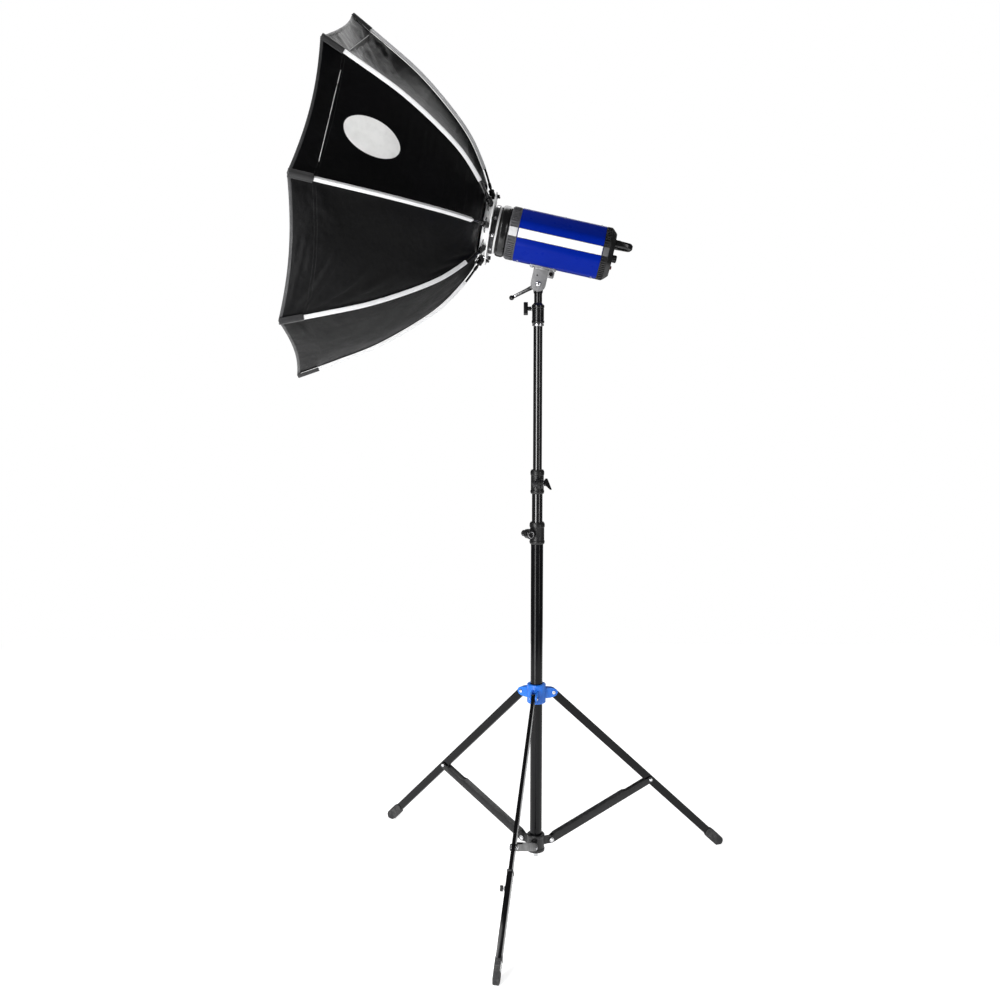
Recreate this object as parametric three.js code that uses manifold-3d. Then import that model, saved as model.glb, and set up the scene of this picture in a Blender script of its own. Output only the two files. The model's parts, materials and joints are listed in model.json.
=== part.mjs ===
// A studio light kit, in millimetres, +Z up, feet on z = 0: an octagonal softbox of 36 inches across
// the flats on a monolight flash head, carried by a folding tripod stand with a three-part column.
// The softbox faces -X, the front leg of the stand points to -Y.
import * as THREE from "three";
import { mergeVertices } from "three/addons/utils/BufferGeometryUtils.js";
import Module from "manifold-3d";

// ---- driving dimensions ----
const COLUMN_X = 43.338; // the column stands off the centre of the object's box
const COLUMN_Y = 60.767;
const GAP = 0.35; // between pieces that touch

const TUBE_SIDES = 24;
const LOWER_TUBE = { radius: 17.5, bore: 16.3, low: 78, high: 1020 };
const MIDDLE_TUBE = { radius: 15, bore: 13.8, low: 200, high: 1167 };
const UPPER_TUBE = { radius: 12.5, bore: 11.3, low: 640, high: 1598 };

const LEG_AZIMUTHS = { front: -9.4, right: 110.6, left: -129.4 }; // degrees, 0 is -Y, + turns to +X
const SPIDER_PIVOT = { radius: 50, height: 547 };
const BASE_PIVOT = { radius: 47, height: 98 };
const BASE = { radius: 26, low: 70, high: 122 };
const SPIDER = { radius: 27, low: 521, high: 577, screw: 560 };
const FOOT = { radius: 609, height: 12 }; // centre of the rounded foot end
const KNEE_SHARE = 0.57; // of the leg, from its pivot to the knee
const LEG = { width: 24, thickness: 10, end: 34 };
const BOOT = { length: 42, height: 30, thickness: 16 };
const SLEEVE = { start: 505, end: 744, height: 29, thickness: 14.4, knob: 551 };
const BRACE = { outer: 19.6, inner: 16.8, web: 1.4, half: 9, top: 13.7, notch: 92 };
const PIN_RADIUS = 3;
const PIN_HOLE = 3.4;

const LOWER_CLAMP = { low: 986, high: 1049, radius: 21.5, azimuth: -58 };
const UPPER_CLAMP = { low: 1130, high: 1198, radius: 19.5, azimuth: 12 };

const ADAPTER = { low: 1605, radius: 17.5, spigot: 8, knob: 1646 };
const TILT_HEIGHT = 1713; // tilt pivot above the floor
const AXIS_HEIGHT = 1834; // where the lamp axis crosses the column
const HEAD_TILT = THREE.MathUtils.degToRad(12.4); // the lamp axis points up by this much
const SOFTBOX_SAG = THREE.MathUtils.degToRad(2.4); // the softbox hangs down on its bayonet
const SHELL = { half: 70.5, flat: 31, wall: 2, rear: -176, front: 57 };
const BEZEL_FRONT = 84;
const NOSE = { bore: 50, radius: 69.5, front: 111 };
const MOUNT = { neck: 56, flange: 66, flangeRear: 118, flangeFront: 128, spigot: 59.5, front: 150 };
const CAP = { rear: -207, bevel: 13, edge: 17 };
const HANDLE = { side: 40, reach: -250, level: 30, width: 9, height: 6 };

const RIM_DISTANCE = 600; // from the column to the softbox rim, along the lamp axis
const RIM_RADIUS = 495; // to the corners of the octagon
const RIB_COUNT = 8;
const RIB_RADIUS = 4.5;
const CANOPY_WALL = 2;
const DIFFUSER = { depth: 60, radius: 451, thickness: 2 }; // depth is behind the rim
const RIM_BOW = 16; // how far the rim bows back between two ribs
const HUB_EDGE = { depth: 438, radius: 84 }; // the canopy's small end, behind the rim
const RING = { bore: 61, body: 75, flange: 99, rear: 131.5, front: 154, seat: 140 };

const wasm = await Module();
wasm.setup();

// ---- materials ----
const finish = (color, roughness, metalness) =>
  new THREE.MeshStandardMaterial({ color, roughness, metalness });
const blackPaint = () => finish(0x101012, 0.3, 0.4);
const blackPlastic = () => finish(0x17171a, 0.6, 0);
const chrome = () => finish(0xd8d8dc, 0.15, 1);
const greyMetal = () => finish(0x8a8a8c, 0.4, 0.8);
const rubber = () => finish(0x202022, 0.85, 0);
const nylon = () => finish(0xd9d6cc, 0.5, 0);
const whiteMetal = () => finish(0xf0f0ee, 0.4, 0.3);

// ---- shapes ----
const radians = THREE.MathUtils.degToRad;

// A turned solid about Z from [radius, height] points, bottom to top on the outside.
function lathe(profile, sides = TUBE_SIDES) {
  const points = profile.map(([radius, height]) => new THREE.Vector2(radius, height));
  return new THREE.LatheGeometry(points, sides).rotateX(Math.PI / 2);
}

const post = (radius, low, high, sides = 12) =>
  lathe([[0, low], [radius, low], [radius, high], [0, high]], sides);

const ring = (bore, radius, low, high, sides = TUBE_SIDES) =>
  lathe([[bore, low], [radius, low], [radius, high], [bore, high], [bore, low]], sides);

// A box between two corners.
function block(low, high) {
  const size = high.map((value, axis) => value - low[axis]);
  const middle = high.map((value, axis) => (value + low[axis]) / 2);
  return new THREE.BoxGeometry(...size).translate(...middle);
}

// An outline in X and Z, extruded across Y and centred on it.
function slab(outline, thickness, curveSegments = 4) {
  const options = { depth: thickness, bevelEnabled: false, curveSegments };
  return new THREE.ExtrudeGeometry(outline, options)
    .rotateX(Math.PI / 2)
    .translate(0, thickness / 2, 0);
}

// A flat bar from start to end along X, with round ends.
function barOutline(start, end, width) {
  const half = width / 2;
  const outline = new THREE.Shape();
  outline.absarc(end, 0, half, -Math.PI / 2, Math.PI / 2, false);
  outline.absarc(start, 0, half, Math.PI / 2, Math.PI * 1.5, false);
  return outline;
}

// A bar lying along Y, for pins and the holes that they run in.
const crossPost = (radius, half, x = 0, z = 0, sides = 10) =>
  post(radius, -half, half, sides).rotateX(Math.PI / 2).translate(x, 0, z);

// Turns what is made along Z so that it lies along X, its section in Y and Z.
const alongX = (geometry) =>
  geometry.applyMatrix4(
    new THREE.Matrix4().makeBasis(
      new THREE.Vector3(0, 1, 0),
      new THREE.Vector3(0, 0, 1),
      new THREE.Vector3(1, 0, 0),
    ),
  );

// ---- joins and cuts ----
function solid(geometry) {
  const bare = geometry.index ? geometry.toNonIndexed() : geometry.clone();
  bare.deleteAttribute("normal");
  bare.deleteAttribute("uv");
  const merged = mergeVertices(bare, 1e-4);
  return new wasm.Manifold(
    new wasm.Mesh({
      numProp: 3,
      vertProperties: merged.attributes.position.array,
      triVerts: new Uint32Array(merged.index.array),
    }),
  );
}

function geometryOf(manifold) {
  const mesh = manifold.getMesh();
  const geometry = new THREE.BufferGeometry();
  const positions = new Float32Array(mesh.vertProperties);
  geometry.setAttribute("position", new THREE.BufferAttribute(positions, 3));
  geometry.setIndex(Array.from(mesh.triVerts));
  geometry.computeVertexNormals();
  return geometry;
}

// Joins the first list of geometries and cuts the second list out of them.
function made(joined, cut = []) {
  let result = solid(joined[0]);
  for (const geometry of joined.slice(1)) result = result.add(solid(geometry));
  for (const geometry of cut) result = result.subtract(solid(geometry));
  return geometryOf(result);
}

// ---- the scene ----
const kit = new THREE.Group();
kit.position.set(COLUMN_X, COLUMN_Y, 0);

function piece(name, geometry, material, parent) {
  const mesh = new THREE.Mesh(geometry, material);
  mesh.name = name;
  parent.add(mesh);
  return mesh;
}

// A group whose +X points along an azimuth, from the column outwards.
function outward(azimuth) {
  const group = new THREE.Group();
  group.rotation.z = radians(azimuth - 90);
  kit.add(group);
  return group;
}

// ---- column ----
function addTubes() {
  const tube = ({ bore, radius, low, high }) => ring(bore, radius, low, high);
  piece("lower_tube", tube(LOWER_TUBE), blackPaint(), kit);
  piece("middle_tube", tube(MIDDLE_TUBE), blackPaint(), kit);
  piece("upper_tube", tube(UPPER_TUBE), blackPaint(), kit);
  const bush = (inside, outside, height) =>
    ring(inside.radius + GAP, outside.bore - 0.4, inside.low + 4, inside.low + height);
  piece("middle_tube_bush", bush(MIDDLE_TUBE, LOWER_TUBE, 44), nylon(), kit);
  piece("upper_tube_bush", bush(UPPER_TUBE, MIDDLE_TUBE, 40), nylon(), kit);
}

// A split clamp: a sleeve round two tubes, with a pair of ears that a knob's screw draws together.
const EAR = { reach: 41, screw: 33, half: 8, slit: 1, low: 18, high: 44 };

function clampBody(clamp, lowerBore, upperBore) {
  const { low, high, radius } = clamp;
  const step = low + 0.55 * (high - low);
  const sleeve = lathe([
    [lowerBore, low],
    [radius - 1.5, low],
    [radius, low + 4],
    [radius, high - 5],
    [radius - 2.5, high],
    [upperBore, high],
    [upperBore, step],
    [lowerBore, step],
    [lowerBore, low],
  ]);
  const ears = block([radius - 3, -EAR.half, low + EAR.low], [EAR.reach, EAR.half, low + EAR.high]);
  const slit = block([radius + 1, -EAR.slit, low], [EAR.reach + 1, EAR.slit, high]);
  const hole = crossPost(PIN_HOLE, EAR.half + 1, EAR.screw, low + (EAR.low + EAR.high) / 2);
  return made([sleeve, ears], [slit, hole]);
}

// A pointed wing, upright, that starts at the end of a clamp's ears.
function clampWing(face) {
  const outline = new THREE.Shape();
  outline.moveTo(-8, face + 3);
  outline.lineTo(6, face + 3);
  outline.lineTo(6, face + 9);
  outline.lineTo(17, face + 21);
  outline.lineTo(17, face + 26);
  outline.lineTo(-15, face + 13);
  outline.lineTo(-15, face + 8);
  return slab(outline, 6).rotateZ(Math.PI / 2);
}

// The screw with its barrel at one ear and the grip, a wing or a disc, at the other.
function clampKnob(clamp, grip) {
  const height = clamp.low + (EAR.low + EAR.high) / 2;
  const face = EAR.half + GAP;
  const barrel = { radius: 9, length: 12 };
  const screw = lathe(
    [
      [0, -face - barrel.length],
      [barrel.radius, -face - barrel.length],
      [barrel.radius, -face],
      [PIN_RADIUS, -face],
      [PIN_RADIUS, face],
      [6.5, face],
      [6.5, face + 8],
      [0, face + 8],
    ],
    12,
  );
  return made([screw, grip(face)])
    .rotateX(-Math.PI / 2)
    .translate(EAR.screw, 0, height);
}

function addClamps() {
  const lower = outward(LOWER_CLAMP.azimuth);
  const lowerBores = [LOWER_TUBE.radius + GAP, MIDDLE_TUBE.radius + GAP];
  piece("lower_clamp", clampBody(LOWER_CLAMP, ...lowerBores), blackPlastic(), lower);
  const disc = (face) => post(13, face + 3, face + 13, 20);
  piece("lower_clamp_knob", clampKnob(LOWER_CLAMP, disc), blackPlastic(), lower);
  const upper = outward(UPPER_CLAMP.azimuth);
  const upperBores = [MIDDLE_TUBE.radius + GAP, UPPER_TUBE.radius + GAP];
  piece("upper_clamp", clampBody(UPPER_CLAMP, ...upperBores), blackPlastic(), upper);
  piece("upper_clamp_knob", clampKnob(UPPER_CLAMP, clampWing), blackPlastic(), upper);
}

// ---- tripod ----
const COLLAR_BORE = LOWER_TUBE.radius + GAP;

function addBase() {
  const { radius, low, high } = BASE;
  const joined = [ring(COLLAR_BORE, radius, low, high)];
  for (const azimuth of Object.values(LEG_AZIMUTHS)) {
    const turn = radians(azimuth - 90);
    const tongue = slab(barOutline(22, BASE_PIVOT.radius, 20), BRACE.inner - 1);
    joined.push(tongue.translate(0, 0, BASE_PIVOT.height).rotateZ(turn));
    const half = BRACE.outer / 2;
    const rivet = crossPost(PIN_RADIUS, half + 2, BASE_PIVOT.radius, BASE_PIVOT.height);
    joined.push(rivet.rotateZ(turn));
    for (const side of [-1, 1]) {
      const head = crossPost(5, 1, BASE_PIVOT.radius, BASE_PIVOT.height);
      joined.push(head.translate(0, side * (half + 1.4), 0).rotateZ(turn));
    }
  }
  const room = post(COLLAR_BORE, low - 1, high + 1, TUBE_SIDES);
  piece("base_collar", made(joined, [room]), blackPlastic(), kit);
  const plug = lathe([
    [0, 52],
    [6, 52],
    [6, 66],
    [17, 66],
    [17, 77.5],
    [0, 77.5],
  ]);
  piece("base_plug", plug, greyMetal(), kit);
}

function addSpider() {
  const { radius, low, high, screw } = SPIDER;
  const joined = [ring(COLLAR_BORE, radius, low, high)];
  const cut = [post(COLLAR_BORE, low - 1, high + 1, TUBE_SIDES)];
  const height = SPIDER_PIVOT.height;
  for (const azimuth of Object.values(LEG_AZIMUTHS)) {
    const turn = radians(azimuth - 90);
    for (const side of [-1, 1]) {
      const cheek = slab(barOutline(24, SPIDER_PIVOT.radius, 26), 5);
      const offset = side * (LEG.thickness / 2 + 0.6 + 2.5);
      joined.push(cheek.translate(0, offset, height).rotateZ(turn));
    }
    cut.push(crossPost(PIN_RADIUS + 0.3, 14, SPIDER_PIVOT.radius, height).rotateZ(turn));
  }
  const bossTurn = radians(LEG_AZIMUTHS.front + 90);
  const boss = alongX(post(8, radius - 5, radius + 9)).translate(0, 0, screw);
  joined.push(boss.rotateZ(bossTurn));
  cut.push(alongX(post(PIN_HOLE, 10, 40)).translate(0, 0, screw).rotateZ(bossTurn));
  piece("spider_collar", made(joined, cut), finish(0x1477e0, 0.35, 0), kit);

  const back = outward(LEG_AZIMUTHS.front + 180);
  const shank = alongX(post(PIN_RADIUS, COLLAR_BORE + 0.6, radius + 17));
  const hub = alongX(post(7, radius + 9 + GAP, radius + 19));
  const wing = alongX(slab(barOutline(-10, 10, 8), 7).rotateX(Math.PI / 2));
  const knob = made([shank, hub, wing.translate(radius + 21, 0, 0)]).translate(0, 0, screw);
  piece("spider_knob", knob, blackPlastic(), back);
}

const LEG_RUN = FOOT.radius - SPIDER_PIVOT.radius;
const LEG_DROP = SPIDER_PIVOT.height - FOOT.height;
const LEG_LENGTH = Math.hypot(LEG_RUN, LEG_DROP);
const LEG_SLOPE = Math.atan2(LEG_DROP, LEG_RUN);
const KNEE = LEG_LENGTH * KNEE_SHARE;

// Places a geometry made along +X, with its pivot at the origin, on the leg's line.
const onLeg = (geometry) =>
  geometry.rotateY(LEG_SLOPE).translate(SPIDER_PIVOT.radius, 0, SPIDER_PIVOT.height);

function addLeg(name, azimuth) {
  const arm = outward(azimuth);
  const barEnd = LEG_LENGTH - LEG.end;
  const outline = barOutline(0, LEG_LENGTH, LEG.width);
  const bar = made(
    [slab(outline, LEG.thickness)],
    [
      crossPost(PIN_HOLE, 10),
      block([barEnd, -10, -20], [LEG_LENGTH + 20, 10, 20]),
    ],
  );
  piece(`leg_${name}`, onLeg(bar), blackPaint(), arm);

  const levelled = name === "front";
  const boot = slab(barOutline(LEG_LENGTH - BOOT.length, LEG_LENGTH, BOOT.height), BOOT.thickness);
  const inside = LEG_LENGTH - 70;
  const wall = LEG.thickness / 2 + GAP;
  const tall = LEG.width / 2 + GAP;
  const pocket = levelled
    ? block([inside, -10, -20], [SLEEVE.end + GAP, 10, 20])
    : block([inside, -wall, -tall], [barEnd + GAP, wall, tall]);
  const floor = block([0, -20, -60], [700, 20, 0]);
  const foot = made([onLeg(boot)], [onLeg(pocket), floor]);
  piece(`foot_${name}`, foot, rubber(), arm);
  if (levelled) addLevelling(arm);

  const pin = crossPost(PIN_RADIUS, 11.4);
  const heads = [-1, 1].map((side) => crossPost(5.5, 1).translate(0, side * 11.9, 0));
  const place = [SPIDER_PIVOT.radius, 0, SPIDER_PIVOT.height];
  piece(`leg_pin_${name}`, made([pin, ...heads]).translate(...place), chrome(), arm);
}

// The front leg stands on a sleeve that slides along it to level the stand on a slope.
function addLevelling(arm) {
  const { start, end, height, thickness } = SLEEVE;
  const wall = thickness / 2;
  const room = LEG.thickness / 2 + 0.5;
  const tall = LEG.width / 2 + 0.5;
  const outside = block([start, -wall, -height / 2], [end, wall, height / 2]);
  const inside = block([start - 1, -room, -tall], [end + 1, room, tall]);
  const boss = crossPost(7, 4, SLEEVE.knob).translate(0, -wall - 2, 0);
  const screwHole = crossPost(2.6, 8, SLEEVE.knob).translate(0, -wall - 4, 0);
  piece("levelling_sleeve", onLeg(made([outside, boss], [inside, screwHole])), blackPaint(), arm);
  const screw = crossPost(2.2, 8, SLEEVE.knob).translate(0, -13.8, 0);
  const knob = crossPost(8, 4, SLEEVE.knob).translate(0, -wall - 6 - 4 - GAP, 0);
  piece("levelling_knob", onLeg(made([screw, knob])), blackPlastic(), arm);
}

function addBrace(name, azimuth) {
  const arm = outward(azimuth);
  const kneeRun = SPIDER_PIVOT.radius + KNEE * Math.cos(LEG_SLOPE) - BASE_PIVOT.radius;
  const kneeRise = SPIDER_PIVOT.height - KNEE * Math.sin(LEG_SLOPE) - BASE_PIVOT.height;
  const length = Math.hypot(kneeRun, kneeRise);
  const { half, top, outer, notch, web } = BRACE;
  const outline = new THREE.Shape();
  outline.absarc(length, 0, half, -Math.PI / 2, Math.PI / 2, false);
  outline.lineTo(length - notch + 12, half);
  outline.lineTo(length - notch, top);
  outline.lineTo(16, top);
  outline.absarc(0, 0, half, Math.PI / 2, Math.PI * 1.5, false);
  const inner = BRACE.inner / 2;
  const channel = block([-30, -inner, -30], [length + 30, inner, top - web]);
  const rivets = [-1, 1].map((side) =>
    crossPost(5, 3.2, length).translate(0, side * (LEG.thickness / 2 + 0.7 + 3.2), 0),
  );
  const body = made([slab(outline, outer)], [channel, crossPost(PIN_HOLE, 12)]);
  const brace = geometryOf(rivets.reduce((sum, rivet) => sum.add(solid(rivet)), solid(body)));
  brace.rotateY(-Math.atan2(kneeRise, kneeRun));
  piece(`brace_${name}`, brace.translate(BASE_PIVOT.radius, 0, BASE_PIVOT.height), blackPaint(), arm);
}

// ---- lamp adapter on top of the column ----
function addAdapter() {
  const { low, radius, spigot } = ADAPTER;
  const seat = UPPER_TUBE.high + 0.3;
  const plug = lathe([
    [0, seat - 58],
    [11, seat - 58],
    [11, seat],
    [16, seat],
    [16, low],
    [spigot, low],
    [spigot, low + 45],
    [0, low + 45],
  ]);
  piece("top_spigot", plug, chrome(), kit);

  const bore = spigot + 0.4;
  const socket = lathe([
    [bore, low + GAP],
    [radius - 1.5, low + GAP],
    [radius, low + 3],
    [radius, low + 50],
    [11, low + 57],
    [11, TILT_HEIGHT - 23],
    [0, TILT_HEIGHT - 23],
    [0, low + 47],
    [bore, low + 47],
    [bore, low + GAP],
  ]);
  const upright = slab(barOutline(-20, 0, 26), 12).rotateY(-Math.PI / 2);
  const tongue = upright.translate(0, 0, TILT_HEIGHT);
  const pivot = crossPost(PIN_HOLE + 0.6, 8, 0, TILT_HEIGHT);
  const knobHole = alongX(post(PIN_HOLE, -20, -6)).translate(0, 0, ADAPTER.knob);
  piece("stand_adapter", made([socket, tongue], [pivot, knobHole]), blackPaint(), kit);

  const screw = alongX(post(PIN_RADIUS, -30, -8.7));
  const hub = alongX(post(6, -28, -18));
  const grip = slab(barOutline(-10, 10, 16), 14).rotateY(Math.PI / 2).translate(-34, 0, 0);
  const knob = made([screw, hub, grip]).translate(0, 0, ADAPTER.knob);
  piece("adapter_knob", knob, blackPlastic(), kit);
}

// ---- flash head, in a frame with +X along the lamp axis and +Y towards the stand's front ----
const head = new THREE.Group();
head.position.set(0, 0, AXIS_HEIGHT);
head.rotation.set(0, HEAD_TILT, Math.PI);
kit.add(head);

// The softbox's own frame, turned down about the ring's seat on the mount.
const softbox = new THREE.Group();
const seat = new THREE.Vector3(RING.seat, 0, 0);
softbox.rotation.y = SOFTBOX_SAG;
softbox.position.copy(seat).sub(seat.clone().applyEuler(softbox.rotation));
head.add(softbox);

const PIVOT = {
  x: -(AXIS_HEIGHT - TILT_HEIGHT) * Math.sin(HEAD_TILT),
  z: -(AXIS_HEIGHT - TILT_HEIGHT) * Math.cos(HEAD_TILT),
};

// The rounded octagon of the housing, made smaller by an inset.
function housingOutline(inset) {
  const half = SHELL.half - inset;
  const flat = SHELL.flat - inset * Math.tan(Math.PI / 8);
  const corners = [];
  for (let quarter = 0; quarter < 4; quarter += 1) {
    const turn = (quarter * Math.PI) / 2;
    for (const side of [-flat, flat]) {
      corners.push(new THREE.Vector2(half, side).rotateAround(new THREE.Vector2(), turn));
    }
  }
  const outline = new THREE.Shape();
  const softness = 0.16;
  corners.forEach((corner, index) => {
    const before = corners[(index + 7) % 8];
    const after = corners[(index + 1) % 8];
    const start = corner.clone().lerp(before, softness);
    const end = corner.clone().lerp(after, softness);
    if (index === 0) outline.moveTo(start.x, start.y);
    else outline.lineTo(start.x, start.y);
    outline.quadraticCurveTo(corner.x, corner.y, end.x, end.y);
  });
  return outline;
}

// A length of the housing's section along X.
function housing(inset, rear, front) {
  const options = { depth: front - rear, bevelEnabled: false, curveSegments: 2 };
  const long = new THREE.ExtrudeGeometry(housingOutline(inset), options);
  return alongX(long).translate(rear, 0, 0);
}

const turned = (profile, sides) => alongX(lathe(profile, sides));

function addHousing() {
  const { wall, front } = SHELL;
  const outside = housing(0, SHELL.rear, front);
  const shell = made([outside], [housing(wall, SHELL.rear - 1, front + 1)]);
  piece("head_shell", shell, finish(0x0b1fb4, 0.35, 0.2), head);

  const { bore, radius } = NOSE;
  const bezel = made(
    [housing(0.5, front + GAP, BEZEL_FRONT)],
    [alongX(post(bore, front, BEZEL_FRONT + 1, TUBE_SIDES))],
  );
  piece("front_bezel", bezel, blackPlastic(), head);

  const nose = turned([
    [bore, BEZEL_FRONT + GAP],
    [radius - 6, BEZEL_FRONT + GAP],
    [radius - 1.5, BEZEL_FRONT + 3],
    [radius, BEZEL_FRONT + 7],
    [radius, NOSE.front - 7],
    [radius - 1.5, NOSE.front - 3],
    [radius - 6, NOSE.front],
    [bore, NOSE.front],
    [bore, BEZEL_FRONT + GAP],
  ]);
  piece("front_ring", nose, blackPlastic(), head);

  const rear = NOSE.front + GAP;
  const mount = turned([
    [bore, rear],
    [MOUNT.neck, rear],
    [MOUNT.neck, MOUNT.flangeRear],
    [MOUNT.flange, MOUNT.flangeRear],
    [MOUNT.flange, MOUNT.flangeFront],
    [MOUNT.spigot, MOUNT.flangeFront],
    [MOUNT.spigot, MOUNT.front],
    [bore, MOUNT.front],
    [bore, rear],
  ]);
  piece("bayonet_mount", mount, greyMetal(), head);
}

function addLamp() {
  const base = turned([[0, 72], [49, 72], [49, 90], [40, 94], [0, 94]]);
  piece("lamp_base", base, whiteMetal(), head);
  const loop = new THREE.TorusGeometry(31, 4, 6, 20);
  const feet = [-1, 1].map((side) => post(3, -17.6, 0, 6).translate(0, side * 31, 0));
  const tube = made([loop, ...feet]);
  piece("flash_tube", alongX(tube).translate(112, 0, 0), finish(0xf4f4f0, 0.1, 0), head);
  const bulb = turned(
    [
      [0, 94.4],
      [13, 94.4],
      [13, 112],
      [18, 126],
      [16, 142],
      [8, 152],
      [0, 154],
    ],
    16,
  );
  piece("modelling_lamp", bulb, finish(0xffffff, 0.1, 0), head);
}

const PANEL = { rear: -206, front: -203 };
const DIAL = { y: 24, z: -10, radius: 11, rear: -220 };
const SWITCH = { y: -30, z: -8 };
const BUTTON = { y: 34, z: -36 };
const INLET = { y: -6, z: -44 };

function addRear() {
  const { rear, bevel, edge } = CAP;
  const options = {
    depth: SHELL.rear - rear - bevel + 20,
    bevelThickness: bevel,
    bevelSize: bevel,
    bevelOffset: -bevel,
    bevelSegments: 1,
    curveSegments: 2,
  };
  const outside = alongX(new THREE.ExtrudeGeometry(housingOutline(0), options));
  const shell = made(
    [outside.translate(rear + bevel, 0, 0)],
    [
      block([SHELL.rear - GAP, -100, -100], [0, 100, 100]),
      housing(edge, rear - 1, SHELL.rear + 1),
      housing(3, rear + bevel + 5, SHELL.rear + 1),
    ],
  );
  piece("rear_cap", shell, blackPlastic(), head);

  const cut = [
    alongX(post(3.5, PANEL.rear - 1, PANEL.front + 1)).translate(0, DIAL.y, DIAL.z),
    alongX(post(5.4, PANEL.rear - 1, PANEL.front + 1)).translate(0, BUTTON.y, BUTTON.z),
    block(
      [PANEL.rear - 1, SWITCH.y - 7, SWITCH.z - 10.5],
      [PANEL.front + 1, SWITCH.y + 7, SWITCH.z + 10.5],
    ),
    block(
      [PANEL.rear - 1, INLET.y - 12.4, INLET.z - 8.4],
      [PANEL.front + 1, INLET.y + 12.4, INLET.z + 8.4],
    ),
  ];
  const panel = made([housing(edge + GAP, PANEL.rear, PANEL.front)], cut);
  piece("rear_panel", panel, finish(0x3a3a3e, 0.5, 0.2), head);

  const dial = turned(
    [
      [0, DIAL.rear],
      [DIAL.radius - 2, DIAL.rear],
      [DIAL.radius, DIAL.rear + 3],
      [DIAL.radius, PANEL.rear - 0.4],
      [3, PANEL.rear - 0.4],
      [3, PANEL.rear + 9],
      [0, PANEL.rear + 9],
    ],
    20,
  );
  piece("power_dial", dial.translate(0, DIAL.y, DIAL.z), blackPlastic(), head);

  const cap = PANEL.rear - 5;
  const stem = PANEL.rear + 9;
  const button = turned([[0, cap], [4, cap], [5, cap + 1], [5, stem], [0, stem]], 14);
  piece("test_button", button.translate(0, BUTTON.y, BUTTON.z), finish(0xb01818, 0.4, 0), head);

  const rocker = new THREE.Shape();
  rocker.moveTo(PANEL.rear + 5, -9.5);
  rocker.lineTo(PANEL.rear + 5, 9.5);
  rocker.lineTo(PANEL.rear - 0.5, 9.5);
  rocker.lineTo(PANEL.rear - 3, 0);
  rocker.lineTo(PANEL.rear - 1.5, -9.5);
  const paddle = slab(rocker, 12).translate(0, SWITCH.y, SWITCH.z);
  piece("power_switch", paddle, blackPlastic(), head);

  const { y, z } = INLET;
  const inlet = made(
    [block([PANEL.rear - 2, y - 12, z - 8], [PANEL.rear + 23, y + 12, z + 8])],
    [block([PANEL.rear - 3, y - 10, z - 6], [PANEL.rear + 17, y + 10, z + 6])],
  );
  piece("power_inlet", inlet, blackPlastic(), head);
}

// The carrying handle: a bow across the rear cap, held at both ends.
function addHandle() {
  const { side, reach, level } = HANDLE;
  const root = CAP.rear - GAP;
  const points = [
    [root, -side],
    [root - 16, -side],
    [reach + 6, -side + 7],
    [reach, -side + 20],
    [reach, side - 20],
    [reach + 6, side - 7],
    [root - 16, side],
    [root, side],
  ].map(([x, y]) => new THREE.Vector3(x, y, level));
  const section = new THREE.Shape();
  section.absellipse(0, 0, HANDLE.width, HANDLE.height, 0, 2 * Math.PI, false, 0);
  const bow = new THREE.ExtrudeGeometry(section, {
    steps: 26,
    curveSegments: 5,
    bevelEnabled: false,
    extrudePath: new THREE.CatmullRomCurve3(points, false, "catmullrom", 0.35),
  });
  piece("handle", bow, blackPlastic(), head);
}

const LEVER = { length: 82, drop: radians(39), side: -15.6 };

// The bracket under the housing: a top plate and two cheeks round the adapter's tongue.
function addBracket() {
  const plateTop = -SHELL.half - GAP;
  const plate = block([PIVOT.x - 40, -24, plateTop - 4], [PIVOT.x + 34, 24, plateTop]);
  const cheeks = [-1, 1].map((side) => {
    const outline = new THREE.Shape();
    outline.absarc(PIVOT.x, PIVOT.z, 21, Math.PI, 2 * Math.PI, false);
    outline.lineTo(PIVOT.x + 21, plateTop - 2);
    outline.lineTo(PIVOT.x - 21, plateTop - 2);
    return slab(outline, 4, 8).translate(0, side * 8.6, 0);
  });
  const holder = block([PIVOT.x - 37, -8, plateTop - 25], [PIVOT.x - 19, 10.6, plateTop - 2]);
  const cut = [
    crossPost(PIN_HOLE, 12, PIVOT.x, PIVOT.z),
    alongX(post(4.5, PIVOT.x - 40, PIVOT.x + 30)).translate(0, 0, plateTop - 15),
    crossPost(2.6, 8, PIVOT.x - 28, plateTop - 15).translate(0, 8, 0),
  ];
  piece("tilt_bracket", made([plate, ...cheeks, holder], cut), greyMetal(), head);

  const bolt = made([
    crossPost(PIN_RADIUS, 14, PIVOT.x, PIVOT.z),
    crossPost(7.5, 2, PIVOT.x, PIVOT.z, 12).translate(0, 13, 0),
  ]);
  piece("tilt_bolt", bolt, chrome(), head);

  const leverHub = crossPost(9, 4, 0, 0, 12);
  const arm = slab(barOutline(0, LEVER.length - 2, 8), 6);
  const knob = new THREE.SphereGeometry(7, 10, 8).translate(LEVER.length, 0, 0);
  const bore = crossPost(PIN_RADIUS + 0.4, 8);
  const lever = made([leverHub, arm, knob], [bore])
    .rotateY(LEVER.drop)
    .translate(PIVOT.x, LEVER.side, PIVOT.z);
  piece("tilt_lever", lever, blackPaint(), head);

  const screw = crossPost(2.2, 6, PIVOT.x - 28, plateTop - 15).translate(0, 12, 0);
  const thumb = crossPost(6, 3, PIVOT.x - 28, plateTop - 15).translate(0, 14.2, 0);
  piece("umbrella_screw", made([screw, thumb]), blackPlastic(), head);
}

// ---- softbox ----
// The line of a rib in its own plane: how far behind the rim, and how far off the lamp axis.
const RIB_LINE = new THREE.SplineCurve(
  [
    [4, RIM_RADIUS - 3],
    [102, 437],
    [204, 376],
    [296, 304],
    [368, 234],
    [419, 160],
    [446, 108],
    [454, 91],
  ].map(([depth, radius]) => new THREE.Vector2(depth, radius)),
);

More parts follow.
